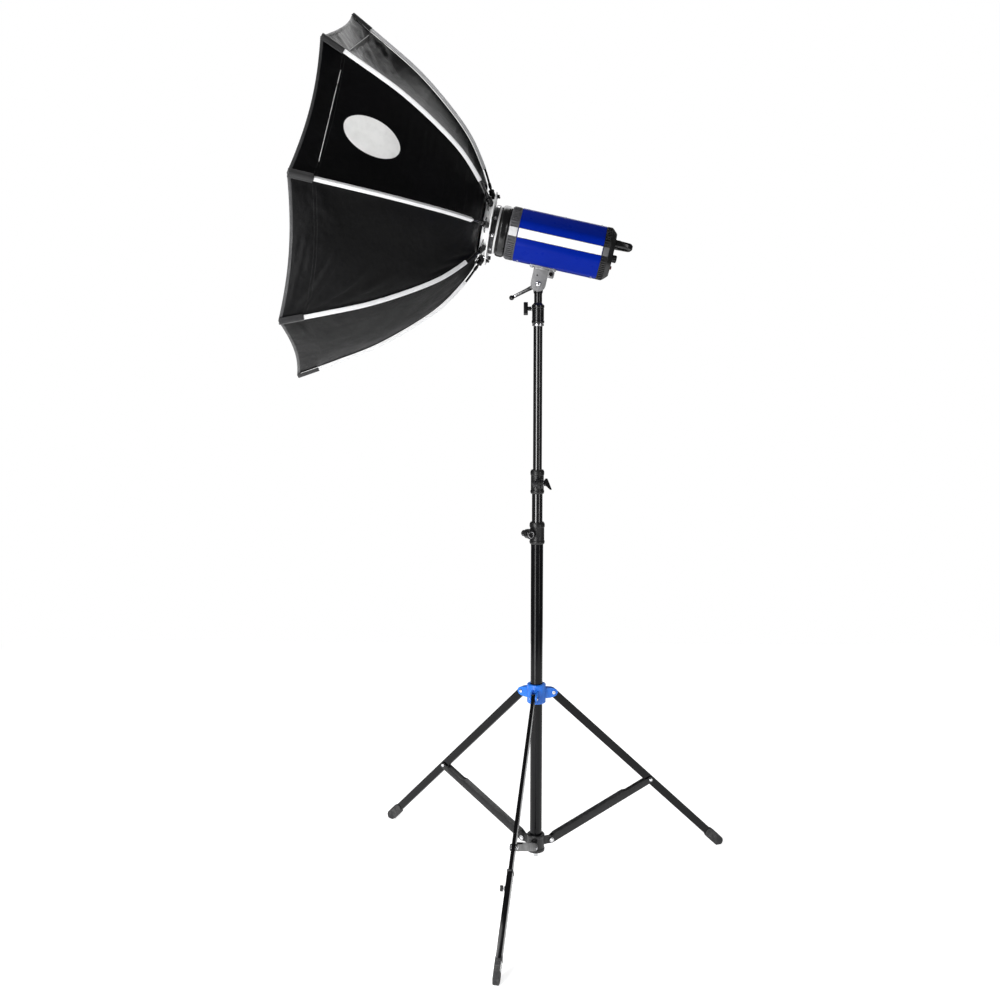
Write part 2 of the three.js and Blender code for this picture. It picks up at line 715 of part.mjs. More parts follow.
// A point off the rib's line by a distance towards the inside of the softbox.
function ribPoint(share, inwards) {
  const point = RIB_LINE.getPointAt(share);
  const along = RIB_LINE.getTangentAt(share);
  return new THREE.Vector2(point.x + along.y * inwards, point.y - along.x * inwards);
}

// From depth and radius in a rib's plane to the head's frame; angle 0 is the top rib.
function inHead(point, angle) {
  const { x: depth, y: radius } = point;
  return new THREE.Vector3(
    RIM_DISTANCE - depth,
    radius * Math.sin(angle),
    radius * Math.cos(angle),
  );
}

function addRibs() {
  const section = new THREE.Shape();
  section.absarc(0, 0, RIB_RADIUS, 0, 2 * Math.PI, false);
  const steps = 12;
  for (let rib = 0; rib < RIB_COUNT; rib += 1) {
    const angle = (rib * 2 * Math.PI) / RIB_COUNT;
    const points = [];
    for (let step = 0; step <= steps; step += 1) points.push(inHead(ribPoint(step / steps, 0), angle));
    const rod = new THREE.ExtrudeGeometry(section, {
      steps,
      curveSegments: 3,
      bevelEnabled: false,
      extrudePath: new THREE.CatmullRomCurve3(points),
    });
    piece(`rib_${rib + 1}`, rod, finish(0xe9e9ee, 0.35, 0), softbox);
  }
}

// The black fabric: one sheet from the rim to the ring, straight across between its ribs.
function addCanopy() {
  const rows = 11;
  const perGore = 3;
  const clear = RIB_RADIUS + 0.6;
  const positions = [];
  const around = RIB_COUNT * perGore;
  const profile = (inwards) => {
    const line = [];
    for (let row = 0; row < rows; row += 1) line.push(ribPoint((row / (rows - 1)) * 0.965, inwards));
    line.push(new THREE.Vector2(HUB_EDGE.depth - inwards + clear, HUB_EDGE.radius));
    return line;
  };
  const outside = profile(clear);
  const inside = profile(clear + CANOPY_WALL).reverse();
  const loop = [...outside, ...inside];
  const half = Math.PI / RIB_COUNT;
  loop.forEach((point, place) => {
    const row = place < outside.length ? place : loop.length - 1 - place;
    const fade = Math.max(0, 1 - row / 4);
    for (let column = 0; column < around; column += 1) {
      const across = (column % perGore) / perGore;
      const local = (across * 2 - 1) * half;
      const angle = Math.floor(column / perGore) * 2 * half + (local + half);
      const radius = (point.y * Math.cos(half)) / Math.cos(local);
      const bow = RIM_BOW * fade * (1 - (2 * across - 1) ** 2);
      const spot = inHead(new THREE.Vector2(point.x + bow, radius), angle);
      positions.push(spot.x, spot.y, spot.z);
    }
  });
  const triangles = [];
  for (let place = 0; place < loop.length; place += 1) {
    for (let column = 0; column < around; column += 1) {
      const next = (column + 1) % around;
      const here = place * around;
      const there = ((place + 1) % loop.length) * around;
      triangles.push(here + column, here + next, there + column);
      triangles.push(here + next, there + next, there + column);
    }
  }
  const geometry = new THREE.BufferGeometry();
  geometry.setAttribute("position", new THREE.Float32BufferAttribute(positions, 3));
  geometry.setIndex(triangles);
  geometry.computeVertexNormals();
  piece("canopy", geometry, finish(0x0c0c0e, 0.45, 0), softbox);
}

function addDiffuser() {
  const outline = new THREE.Shape();
  const { depth, radius, thickness } = DIFFUSER;
  for (let rib = 0; rib < RIB_COUNT; rib += 1) {
    const angle = (rib * 2 * Math.PI) / RIB_COUNT;
    const [y, z] = [radius * Math.sin(angle), radius * Math.cos(angle)];
    if (rib === 0) outline.moveTo(y, z);
    else outline.lineTo(y, z);
  }
  const sheet = new THREE.ExtrudeGeometry(outline, { depth: thickness, bevelEnabled: false });
  const place = RIM_DISTANCE - depth;
  const white = finish(0xf7f7f5, 0.8, 0);
  piece("front_diffuser", alongX(sheet).translate(place, 0, 0), white, softbox);
}

// The ring that the ribs plug into, with a socket for each of them.
function addSpeedRing() {
  const { bore, body, flange, rear, front } = RING;
  const hoop = turned(
    [
      [bore, rear],
      [flange, rear],
      [flange, rear + 3],
      [body, rear + 3],
      [body, front],
      [bore, front],
      [bore, rear],
    ],
    32,
  );
  const joined = [hoop];
  const cut = [];
  const tip = RIB_LINE.getPointAt(1);
  const tangent = RIB_LINE.getTangentAt(1);
  const lean = Math.atan2(tangent.x, -tangent.y);
  for (let rib = 0; rib < RIB_COUNT; rib += 1) {
    const angle = (rib * 2 * Math.PI) / RIB_COUNT;
    const place = (geometry) =>
      geometry
        .rotateY(lean)
        .translate(RIM_DISTANCE - tip.x, 0, tip.y)
        .rotateX(-angle);
    joined.push(place(post(8, -14, 12, 10)));
    cut.push(place(post(RIB_RADIUS + 0.5, -GAP, 20, 8)));
  }
  const lockAngle = radians(157.5);
  const lock = [88 * Math.sin(lockAngle), 88 * Math.cos(lockAngle)];
  cut.push(alongX(post(bore, rear - 1, front + 20, 32)));
  cut.push(alongX(post(2.6, rear - 1, rear + 5, 10)).translate(0, ...lock));
  piece("speed_ring", made(joined, cut), whiteMetal(), softbox);

  const screw = alongX(post(2.2, -8, 8, 10));
  const thumb = alongX(post(5.5, -12, -3));
  const knob = made([screw, thumb]).translate(rear - GAP, ...lock);
  piece("ring_lock_screw", knob, blackPlastic(), softbox);
}

addTubes();
addClamps();
addBase();
addSpider();
for (const [name, azimuth] of Object.entries(LEG_AZIMUTHS)) {
  addLeg(name, azimuth);
  addBrace(name, azimuth);
}
addAdapter();
addHousing();
addLamp();
addRear();
addHandle();
addBracket();
addRibs();
addCanopy();
addDiffuser();
addSpeedRing();

export default kit;
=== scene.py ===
# The looks of a studio light kit: an octagonal softbox on a flash head and a folding light stand.
# Shapes are made in millimetres, in the local frame of the piece that they belong to, and placed
# by a matrix that turns them into the frame's metres.
import json
import math
from math import cos, pi, radians, sin

import bmesh
import bpy
import numpy as np
from mathutils import Matrix, Vector, noise


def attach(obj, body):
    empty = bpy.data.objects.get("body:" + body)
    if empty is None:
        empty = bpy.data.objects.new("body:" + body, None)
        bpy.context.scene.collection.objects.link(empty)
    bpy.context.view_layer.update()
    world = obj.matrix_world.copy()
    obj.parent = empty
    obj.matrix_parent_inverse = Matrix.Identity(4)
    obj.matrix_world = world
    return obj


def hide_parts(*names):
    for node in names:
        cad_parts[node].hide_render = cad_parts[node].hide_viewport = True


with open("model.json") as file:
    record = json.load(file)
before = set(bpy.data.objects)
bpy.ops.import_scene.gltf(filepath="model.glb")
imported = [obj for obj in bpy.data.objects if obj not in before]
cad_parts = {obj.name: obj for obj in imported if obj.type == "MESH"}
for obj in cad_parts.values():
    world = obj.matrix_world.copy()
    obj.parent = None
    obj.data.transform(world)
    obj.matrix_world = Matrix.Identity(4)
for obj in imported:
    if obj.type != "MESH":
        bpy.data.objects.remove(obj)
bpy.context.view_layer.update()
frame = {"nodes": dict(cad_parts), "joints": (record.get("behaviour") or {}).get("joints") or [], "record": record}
JOINTS = {joint["name"]: joint for joint in frame["joints"]}
MOUNTS = {mount["name"]: mount for mount in frame["record"]["mounts"]}
MM = 0.001


# ---- frames of the pieces ----
def placed(origin, x_axis, y_axis, z_axis):
    """The matrix that takes millimetres in a local frame to metres in the object's frame."""
    turn = Matrix((x_axis, y_axis, z_axis)).transposed().to_4x4()
    return Matrix.Translation(origin) @ turn @ Matrix.Scale(MM, 4)


def joint_place(name):
    return Vector(JOINTS[name]["pos_m"])


def joint_axis(name):
    return Vector(JOINTS[name]["axis"]).normalized()


COLUMN_AT = Vector((*joint_place("adapter_pan").xy, 0))
COLUMN = placed(COLUMN_AT, Vector((1, 0, 0)), Vector((0, 1, 0)), Vector((0, 0, 1)))

LAMP_AXIS = joint_axis("power_dial_turn")
RING_AT = joint_place("softbox_roll")
HEAD_AT = RING_AT + LAMP_AXIS * ((COLUMN_AT.x - RING_AT.x) / LAMP_AXIS.x)
LAMP_UP = Vector((LAMP_AXIS.z, 0, -LAMP_AXIS.x))
HEAD = placed(HEAD_AT, LAMP_AXIS, LAMP_UP.cross(LAMP_AXIS), LAMP_UP)
BOX_AXIS = joint_axis("softbox_roll")
BOX_UP = Vector((BOX_AXIS.z, 0, -BOX_AXIS.x))
RING_SEAT = 140  # along the lamp axis from the column
BOX = placed(RING_AT - BOX_AXIS * RING_SEAT * MM, BOX_AXIS, BOX_UP.cross(BOX_AXIS), BOX_UP)
TILT_PIVOT = HEAD.inverted() @ joint_place("head_tilt")


def radial(tangent):
    """The frame whose +X points away from the column, given the +Y that runs round it."""
    up = Vector((0, 0, 1))
    return placed(COLUMN_AT, tangent.cross(up), tangent, up)


LEG_NAMES = ("front", "right", "left")
FOOT_END = Vector((0, 0, 12 * MM))


def leg_frame(name):
    """+X down the leg from its upper pivot, +Y round the column; and the leg's length."""
    pivot = joint_place(f"leg_{name}_fold")
    tangent = joint_axis(f"leg_{name}_fold")
    line = Vector(MOUNTS[f"foot_rest_{name}"]["pos_m"]) + FOOT_END - pivot
    along = line.normalized()
    return placed(pivot, along, tangent, along.cross(tangent)), line.length / MM


KNEE_SHARE = 0.57


def brace_frame(name):
    """+X from the brace's lower pivot to the knee; and the brace's length."""
    leg, length = leg_frame(name)
    knee = leg @ Vector((length * KNEE_SHARE, 0, 0))
    pivot = joint_place(f"brace_{name}_fold")
    tangent = -joint_axis(f"brace_{name}_fold")
    along = (knee - pivot).normalized()
    return placed(pivot, along, tangent, along.cross(tangent)), (knee - pivot).length / MM


def new_object(name, data):
    made = bpy.data.objects.new(name, data)
    bpy.context.scene.collection.objects.link(made)
    return made


# ---- camera, floor and light ----
LENS = 41.4
CAMERA_OFFSET = Vector((-0.026, -3.227, 1.543))
CAMERA_YAW = radians(-1.41)
CAMERA_PITCH = radians(-7.62)


def make_camera():
    data = bpy.data.cameras.new("camera")
    data.lens = LENS
    data.sensor_width = 36
    data.clip_start, data.clip_end = 0.05, 100
    camera = new_object("camera", data)
    camera.location = COLUMN_AT + CAMERA_OFFSET
    look = Vector((
        sin(CAMERA_YAW) * cos(CAMERA_PITCH),
        cos(CAMERA_YAW) * cos(CAMERA_PITCH),
        sin(CAMERA_PITCH),
    ))
    camera.rotation_mode = "QUATERNION"
    camera.rotation_quaternion = look.to_track_quat("-Z", "Y")
    bpy.context.scene.camera = camera


def area_light(name, place, target, size, power):
    data = bpy.data.lights.new(name, "AREA")
    data.shape = "RECTANGLE"
    data.size, data.size_y = size
    data.energy = power
    lamp = new_object(name, data)
    lamp.location = place
    lamp.visible_camera = False
    direction = Vector(target) - Vector(place)
    lamp.rotation_mode = "QUATERNION"
    lamp.rotation_quaternion = direction.to_track_quat("-Z", "Y")


def make_stage():
    mesh = bpy.data.meshes.new("floor")
    reach = 2.7
    corners = [(-reach, -reach, 0), (reach, -reach, 0), (reach, reach, 0), (-reach, reach, 0)]
    mesh.from_pydata(corners, [], [(0, 1, 2, 3)])
    floor = new_object("floor", mesh)
    paint = Paint("floor_paint", (0.8, 0.8, 0.8), 0.9, Specular_IOR_Level=0.1,
                  Emission_Color=(1, 1, 1, 1), Emission_Strength=0.72)
    mesh.materials.append(paint.material)

    world = bpy.data.worlds.new("studio")
    world.use_nodes = True
    nodes, links = world.node_tree.nodes, world.node_tree.links
    bright_wall, dim_room = nodes["Background"], nodes.new("ShaderNodeBackground")
    bright_wall.inputs["Strength"].default_value = 1.0
    bright_wall.inputs["Color"].default_value = (1, 1, 1, 1)
    dim_room.inputs["Color"].default_value = (1, 1, 1, 1)
    dim_room.inputs["Strength"].default_value = 0.1
    path, mix = nodes.new("ShaderNodeLightPath"), nodes.new("ShaderNodeMixShader")
    links.new(path.outputs["Is Camera Ray"], mix.inputs["Fac"])
    links.new(dim_room.outputs["Background"], mix.inputs[1])
    links.new(bright_wall.outputs["Background"], mix.inputs[2])
    links.new(mix.outputs["Shader"], nodes["World Output"].inputs["Surface"])
    bpy.context.scene.world = world
    bpy.context.scene.view_settings.view_transform = "Standard"

    area_light("key", (-3.0, -3.4, 4.2), (-0.2, 0, 1.7), (1.3, 1.3), 90)
    area_light("strip", (-0.94, -1.57, 1.15), (0.043, 0.06, 1.0), (0.62, 2.3), 36)
    area_light("fill", (3.4, -3.2, 1.6), (0.1, 0, 1.0), (0.5, 3.0), 26)
    area_light("top", (0.2, 2.6, 4.4), (0.1, 0, 0.6), (2.4, 2.4), 50)
    area_light("back", (1.6, 4.5, 3.2), (0, 0, 1.2), (2.0, 2.0), 30)


# ---- materials ----
class Paint:
    """A principled material with short ways to add detail that is worked out from the surface."""

    def __init__(self, name, color, rough, metal=0.0, **sockets):
        self.material = bpy.data.materials.new(name)
        self.material.use_nodes = True
        self.nodes = self.material.node_tree.nodes
        self.links = self.material.node_tree.links
        self.shader = self.nodes["Principled BSDF"]
        self.set("Base Color", (*color, 1))
        self.set("Roughness", rough)
        self.set("Metallic", metal)
        self.color = color
        for socket, value in sockets.items():
            self.set(socket.replace("_", " "), value)
        self.place = self.nodes.new("ShaderNodeTexCoord").outputs["Object"]
        self.height = None

    def set(self, socket, value):
        self.shader.inputs[socket].default_value = value

    def node(self, kind, **values):
        made = self.nodes.new(kind)
        for name, value in values.items():
            setattr(made, name, value)
        return made

    def plug(self, source, node, socket):
        self.links.new(source, node.inputs[socket])

    def stretched(self, scale, source=None):
        mapping = self.node("ShaderNodeMapping")
        mapping.inputs["Scale"].default_value = scale
        self.plug(source or self.place, mapping, "Vector")
        return mapping.outputs["Vector"]

    def noise(self, scale, detail=4, roughness=0.55, source=None):
        made = self.node("ShaderNodeTexNoise")
        made.inputs["Scale"].default_value = scale
        made.inputs["Detail"].default_value = detail
        made.inputs["Roughness"].default_value = roughness
        self.plug(source or self.place, made, "Vector")
        return made.outputs["Fac"]

    def between(self, value, low, high, start=0.35, end=0.65):
        made = self.node("ShaderNodeMapRange")
        made.inputs["From Min"].default_value = start
        made.inputs["From Max"].default_value = end
        made.inputs["To Min"].default_value = low
        made.inputs["To Max"].default_value = high
        self.plug(value, made, "Value")
        return made.outputs["Result"]

    def math(self, operation, first, second):
        made = self.node("ShaderNodeMath", operation=operation)
        for index, value in enumerate((first, second)):
            if isinstance(value, (int, float)):
                made.inputs[index].default_value = value
            else:
                self.links.new(value, made.inputs[index])
        return made.outputs["Value"]

    def rough_between(self, scale, low, high, detail=5, source=None):
        value = self.noise(scale, detail, source=source)
        self.plug(self.between(value, low, high), self.shader, "Roughness")
        return self

    def tint(self, scale, other, amount=1.0, start=0.4, end=0.7, source=None):
        """Patches of another colour, by noise."""
        share = self.between(self.noise(scale, 5, source=source), 0, amount, start, end)
        return self.mix_color(share, other)

    def mix_color(self, share, other):
        made = self.node("ShaderNodeMix", data_type="RGBA")
        colors = [socket for socket in made.inputs if socket.type == "RGBA"]
        current = self.shader.inputs["Base Color"]
        if current.is_linked:
            self.links.new(current.links[0].from_socket, colors[0])
        else:
            colors[0].default_value = current.default_value
        colors[1].default_value = (*other, 1)
        self.links.new(share, made.inputs[0])
        result = next(socket for socket in made.outputs if socket.type == "RGBA")
        self.plug(result, self.shader, "Base Color")
        return self

    def bump(self, value, depth):
        """Raises the surface by a value times a depth in metres, on top of earlier bumps."""
        made = self.node("ShaderNodeBump")
        made.inputs["Strength"].default_value = 1
        made.inputs["Distance"].default_value = depth
        self.plug(value, made, "Height")
        if self.height is not None:
            self.plug(self.height, made, "Normal")
        self.height = made.outputs["Normal"]
        self.plug(self.height, self.shader, "Normal")
        return self

    def grain(self, scale, depth, detail=3):
        return self.bump(self.noise(scale, detail), depth)

    def edges_worn(self, other, amount=0.6):
        """Paler along sharp edges, broken up by noise."""
        geometry = self.node("ShaderNodeNewGeometry")
        edge = self.between(geometry.outputs["Pointiness"], 0, 1, 0.52, 0.60)
        broken = self.between(self.noise(140, 4), 0, amount, 0.45, 0.65)
        return self.mix_color(self.math("MULTIPLY", edge, broken), other)

    def weave(self, per_metre, depth):
        """A plain weave, over one thread and under the next, along the cloth's own directions."""
        source = self.node("ShaderNodeUVMap", uv_map="uv").outputs["UV"]
        waves = []
        for direction in ("X", "Y"):
            wave = self.node("ShaderNodeTexWave", wave_type="BANDS", bands_direction=direction)
            wave.inputs["Scale"].default_value = per_metre / 2
            wave.inputs["Distortion"].default_value = 0.4
            wave.inputs["Detail"].default_value = 1
            self.plug(source, wave, "Vector")
            waves.append(wave.outputs["Fac"])
        return self.bump(self.math("MULTIPLY", *waves), depth)


def black_paint(name, shine):
    """Gloss black stove paint; shine is its refractive index."""
    paint = Paint(name, (0.003, 0.003, 0.0035), 0.14, 0.0, IOR=shine)
    paint.rough_between(30, 0.11, 0.17)
    paint.tint(9, (0.006, 0.006, 0.007), 0.5)
    return paint.grain(300, 0.000001).material


def satin_paint():
    paint = Paint("satin_black_paint", (0.004, 0.004, 0.0045), 0.36, 0.0, Specular_IOR_Level=0.4)
    paint.rough_between(40, 0.3, 0.42)
    paint.tint(14, (0.011, 0.011, 0.012), 0.5)
    paint.grain(260, 0.00002)
    return paint.edges_worn((0.12, 0.12, 0.12), 0.3).material


def moulded(name, color, rough=0.5, grain=0.00006, worn=(0.12, 0.12, 0.125)):
    """Moulded plastic with a fine spark-eroded grain."""
    paint = Paint(name, color, rough)
    paint.rough_between(60, rough - 0.06, rough + 0.08)
    paint.tint(22, tuple(min(1, 1.4 * value + 0.002) for value in color), 0.5)
    paint.grain(420, grain, 2)
    return paint.edges_worn(worn, 0.3).material


def bright(name, color=(0.78, 0.78, 0.8), rough=0.14):
    paint = Paint(name, color, rough, 1.0)
    paint.rough_between(120, rough * 0.6, rough * 2.0)
    paint.tint(60, tuple(value * 0.7 for value in color), 0.4)
    return paint.grain(500, 0.00002).material


def brushed(name, color, rough=0.38, along=(1, 1, 30)):
    """Rolled or brushed metal, with fine lines along one direction."""
    paint = Paint(name, color, rough, 0.85)
    lines = paint.stretched(along)
    paint.rough_between(260, rough - 0.1, rough + 0.14, source=lines)
    paint.tint(18, tuple(value * 0.62 for value in color), 0.7)
    paint.bump(paint.noise(420, 3, source=lines), 0.00003)
    return paint.edges_worn((0.75, 0.75, 0.76), 0.6).material


def blue_shell_paint():
    paint = Paint("blue_shell_paint", (0.0008, 0.013, 0.24), 0.3, 0.0, Specular_IOR_Level=0.05)
    paint.rough_between(25, 0.26, 0.34)
    paint.tint(7, (0.0008, 0.015, 0.27), 0.6)
    return paint.grain(260, 0.00002).material


def spider_plastic():
    paint = Paint("spider_blue_plastic", (0.012, 0.16, 0.72), 0.34)
    paint.rough_between(80, 0.28, 0.44)
    paint.tint(30, (0.02, 0.24, 0.85), 0.5)
    paint.grain(900, 0.00005)
    return paint.edges_worn((0.25, 0.5, 0.95), 0.5).material


def foot_rubber():
    paint = Paint("foot_rubber", (0.018, 0.018, 0.019), 0.75)
    paint.rough_between(50, 0.62, 0.88)
    paint.tint(35, (0.09, 0.088, 0.085), 0.7, 0.5, 0.75)
    paint.grain(600, 0.00012)
    return paint.edges_worn((0.2, 0.2, 0.2), 0.6).material


def canopy_cloth():
    paint = Paint("canopy_nylon", (0.001, 0.001, 0.0012), 0.34, 0.0, Specular_IOR_Level=0.13)
    paint.rough_between(22, 0.3, 0.4)
    paint.tint(6, (0.002, 0.0019, 0.0028), 0.6)
    paint.bump(paint.noise(14, 5, 0.62), 0.004)
    return paint.weave(1100, 0.00012).material


def tape_cloth(name, color, rough=0.6, threads=1300):
    """Woven tape and binding."""
    paint = Paint(name, color, rough, 0.0, Sheen_Weight=0.2)
    paint.rough_between(70, rough - 0.1, rough + 0.12)
    paint.tint(40, tuple(value * 0.82 for value in color), 0.5)
    return paint.bump(paint.noise(threads, 2), 0.0003).material


def diffuser_cloth():
    paint = Paint("diffuser_nylon", (0.86, 0.86, 0.85), 0.62, 0.0, Sheen_Weight=0.2)
    paint.tint(5, (0.8, 0.8, 0.8), 0.6)
    paint.bump(paint.noise(12, 4, 0.6), 0.003)
    return paint.weave(900, 0.0002).material


def glass(name, color):
    paint = Paint(name, color, 0.25, 0.0, Transmission_Weight=0.35, IOR=1.45)
    paint.rough_between(60, 0.2, 0.34)
    paint.tint(30, tuple(value * 0.9 for value in color), 0.5)
    return paint.grain(300, 0.00004).material


# ---- shapes ----
def filleted(points, radius, steps=3, closed=False):
    """The outline with its corners rounded, where the sides are long enough for it."""
    points = [Vector(point) for point in points]
    count = len(points)
    result = []
    for index, corner in enumerate(points):
        if not closed and index in (0, count - 1):
            result.append(corner)
            continue
        before = points[index - 1] - corner
        after = points[(index + 1) % count] - corner
        turn = before.angle(after, pi)
        reach = min(radius / max(math.tan(turn / 2), 1e-3), before.length * 0.45, after.length * 0.45)
        if turn > radians(172) or reach < 1e-3:
            result.append(corner)
            continue
        start, end = corner + before.normalized() * reach, corner + after.normalized() * reach
        for step in range(steps + 1):
            share = step / steps
            result.append(start.lerp(corner, share).lerp(corner.lerp(end, share), share))
    return result


def rounded(points, radius, steps=3):
    """A closed outline with rounded corners, as (x, y) pairs."""
    return [tuple(point) for point in filleted(points, radius, steps, closed=True)]


def turns(count, start=0.0):
    """Angles spread evenly round a full turn."""
    return np.linspace(start, start + 2 * pi, count, endpoint=False)


def arc(radius, start, end, count, x=0.0, y=0.0):
    return [(x + radius * cos(a), y + radius * sin(a)) for a in np.linspace(start, end, count)]


def skin(rings, size, closed=False):
    """Faces between rings that have size points each, one ring after the other."""
    faces = []
    for ring in range(rings if closed else rings - 1):
        low, high = ring * size, (ring + 1) % rings * size
        for corner in range(size):
            after = (corner + 1) % size
            faces.append((low + corner, low + after, high + after, high + corner))
    return faces


def caps(rings, size):
    return [tuple(reversed(range(size))), tuple(range((rings - 1) * size, rings * size))]


def lathe(profile, sides=48, closed=False, fillet=0.0):
    """Turned about Z from (radius, height) points."""
    profile = filleted(profile, fillet, closed=closed) if fillet else [Vector(point) for point in profile]
    points, faces, rings = [], [], []
    for radius, height in profile:
        if radius < 1e-6:
            rings.append([len(points)] * sides)
            points.append((0, 0, height))
            continue
        rings.append(list(range(len(points), len(points) + sides)))
        for side in range(sides):
            angle = 2 * pi * side / sides
            points.append((radius * cos(angle), radius * sin(angle), height))
    pairs = list(zip(rings, rings[1:]))
    if closed:
        pairs.append((rings[-1], rings[0]))
    for low, high in pairs:
        for side in range(sides):
            nearby = (side + 1) % sides
            corners = [low[side], low[nearby], high[nearby], high[side]]
            face = [c for i, c in enumerate(corners) if c != corners[i - 1]]
            if len(set(face)) > 2:
                faces.append(face)
    return points, faces


def rod(radius, low, high, sides=24, fillet=0.4):
    return lathe([(0, low), (radius, low), (radius, high), (0, high)], sides, fillet=fillet)


def hollow(bore, radius, low, high, sides=32, fillet=0.0, top=None):
    """A ring, or a tube, that can narrow towards its top."""
    profile = [(bore, low), (radius, low), (top or radius, high), (bore, high)]
    return lathe(profile, sides, closed=True, fillet=fillet)


def prism(outline, low, high, bevel=0.0, segments=2):
    """An outline in X and Y, extruded along Z, with its rims bevelled."""
    count = len(outline)
    points = [(x, y, low) for x, y in outline] + [(x, y, high) for x, y in outline]
    faces = [tuple(reversed(range(count))), tuple(range(count, 2 * count))]
    for index in range(count):
        after = (index + 1) % count
        faces.append((index, after, count + after, count + index))
    return bevelled((points, faces), bevel, segments, rims_only=True) if bevel else (points, faces)


def opened(shape, place=Matrix()):
    """A shape as an editable mesh, with its faces turned outwards."""
    mesh = bmesh.new()
    corners = [mesh.verts.new(place @ Vector(point)) for point in shape[0]]
    for face in shape[1]:
        mesh.faces.new([corners[index] for index in face])
    bmesh.ops.recalc_face_normals(mesh, faces=mesh.faces)
    return mesh


def read_back(mesh, place=Matrix()):
    mesh.verts.index_update()
    points = [tuple(place @ vertex.co) for vertex in mesh.verts]
    faces = [tuple(vertex.index for vertex in face.verts) for face in mesh.faces]
    mesh.free()
    return points, faces


def bevelled(shape, width, segments=2, rims_only=False, sharp=radians(40)):
    mesh = opened(shape)
    edges = [edge for edge in mesh.edges if edge.is_manifold and edge.calc_face_angle(0) > sharp]
    if rims_only:
        edges = [e for e in edges if abs(e.verts[0].co.z - e.verts[1].co.z) < 1e-6]
    bmesh.ops.bevel(mesh, geom=edges, offset=width, segments=segments, profile=0.6, affect="EDGES",
                    clamp_overlap=True)
    return read_back(mesh)


def block(low, high, bevel=0.0, segments=2):
    (x0, y0, z0), (x1, y1, z1) = low, high
    shape = prism([(x0, y0), (x1, y0), (x1, y1), (x0, y1)], z0, z1)
    return bevelled(shape, bevel, segments) if bevel else shape


def stadium(start, end, width, steps=10):
    half = width / 2
    return arc(half, -pi / 2, pi / 2, steps, end) + arc(half, pi / 2, 1.5 * pi, steps, start)


def circle(radius, count=24):
    return [(radius * cos(a), radius * sin(a)) for a in turns(count)]


def fluted(radius, depth, flutes):
    """The outline of a small knob with a wavy rim."""
    rims = [(radius + depth * cos(flutes * a), a) for a in turns(60)]
    return [(rim * cos(a), rim * sin(a)) for rim, a in rims]


def sweep(path, section, closed=False, scales=None, normal=None):
    """A section in (side, up) carried along a path of points, without twist, with flat ends."""
    path = [Vector(point) for point in path]
    count = len(path)
    tangents = []
    for index in range(count):
        ahead = path[(index + 1) % count] if closed or index < count - 1 else path[index]
        behind = path[index - 1] if closed or index > 0 else path[index]
        tangents.append((ahead - behind).normalized())
    up = Vector(normal) if normal else tangents[0].orthogonal()
    points = []
    for index, (point, tangent) in enumerate(zip(path, tangents)):
        up = (up - tangent * up.dot(tangent)).normalized()
        side = tangent.cross(up)
        scale = scales[index] if scales else 1
        points += [tuple(point + side * (a * scale) + up * (b * scale)) for a, b in section]
    faces = skin(count, len(section), closed)
    return points, faces if closed else faces + caps(count, len(section))


def disc_faces(rings, sides, first=0):
    """Faces of a disc: one point in the middle, the one numbered first, and rings of points round it."""
    faces = [(first, first + 1 + side, first + 1 + (side + 1) % sides) for side in range(sides)]
    for ring in range(rings - 1):
        low, high = first + 1 + ring * sides, first + 1 + (ring + 1) * sides
        for side in range(sides):
            after = (side + 1) % sides
            faces.append((low + side, high + side, high + after, low + after))
    return faces


def moved(shape, matrix):
    return [tuple(matrix @ Vector(point)) for point in shape[0]], shape[1]


def at(x=0.0, y=0.0, z=0.0):
    return Matrix.Translation((x, y, z))


def turned(angle, axis):
    return Matrix.Rotation(angle, 4, axis)


ALONG_X = Matrix(((0, 0, 1, 0), (1, 0, 0, 0), (0, 1, 0, 0), (0, 0, 0, 1)))  # Z to X, X to Y, Y to Z
ALONG_Y = turned(pi / 2, "X")  # Z to -Y, Y to Z
UPRIGHT = ALONG_Y @ Matrix.Scale(-1, 4, (0, 0, 1))  # Z to Y, Y to Z
BACKWARDS = turned(pi, "Z") @ ALONG_X  # Z to -X
DOWN_LEG = ALONG_X @ turned(pi / 2, "Z")  # Z to X, X to Z


def facing(side):
    """Turns +Z to +Y or -Y."""
    return turned(-side * pi / 2, "X")


class Piece:
    """One object, put together from shapes, each with its own material."""

    def __init__(self, name, body, slot=None):
        self.name, self.body, self.slot = name, body, slot
        self.points, self.faces, self.slots, self.materials = [], [], [], []
        self.sharp = radians(35)

    def add(self, shape, material, matrix=None):
        if matrix is not None:
            shape = moved(shape, matrix)
        if material not in self.materials:
            self.materials.append(material)
        offset = len(self.points)
        self.points += shape[0]
        self.faces += [tuple(index + offset for index in face) for face in shape[1]]
        self.slots += [self.materials.index(material)] * len(shape[1])
        return self

    def done(self, matrix, *replaces):
        mesh = bpy.data.meshes.new(self.name)
        mesh.from_pydata([tuple(matrix @ Vector(point)) for point in self.points], [], self.faces)
        mesh.polygons.foreach_set("material_index", self.slots)
        for material in self.materials:
            mesh.materials.append(material)
        edit = bmesh.new()
        edit.from_mesh(mesh)
        bmesh.ops.recalc_face_normals(edit, faces=edit.faces)
        edit.to_mesh(mesh)
        edit.free()
        mesh.polygons.foreach_set("use_smooth", [True] * len(mesh.polygons))
        mesh.set_sharp_from_angle(angle=self.sharp)
        made = new_object(self.name, mesh)
        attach(made, self.body)
        if replaces:
            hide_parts(*replaces)
        return made


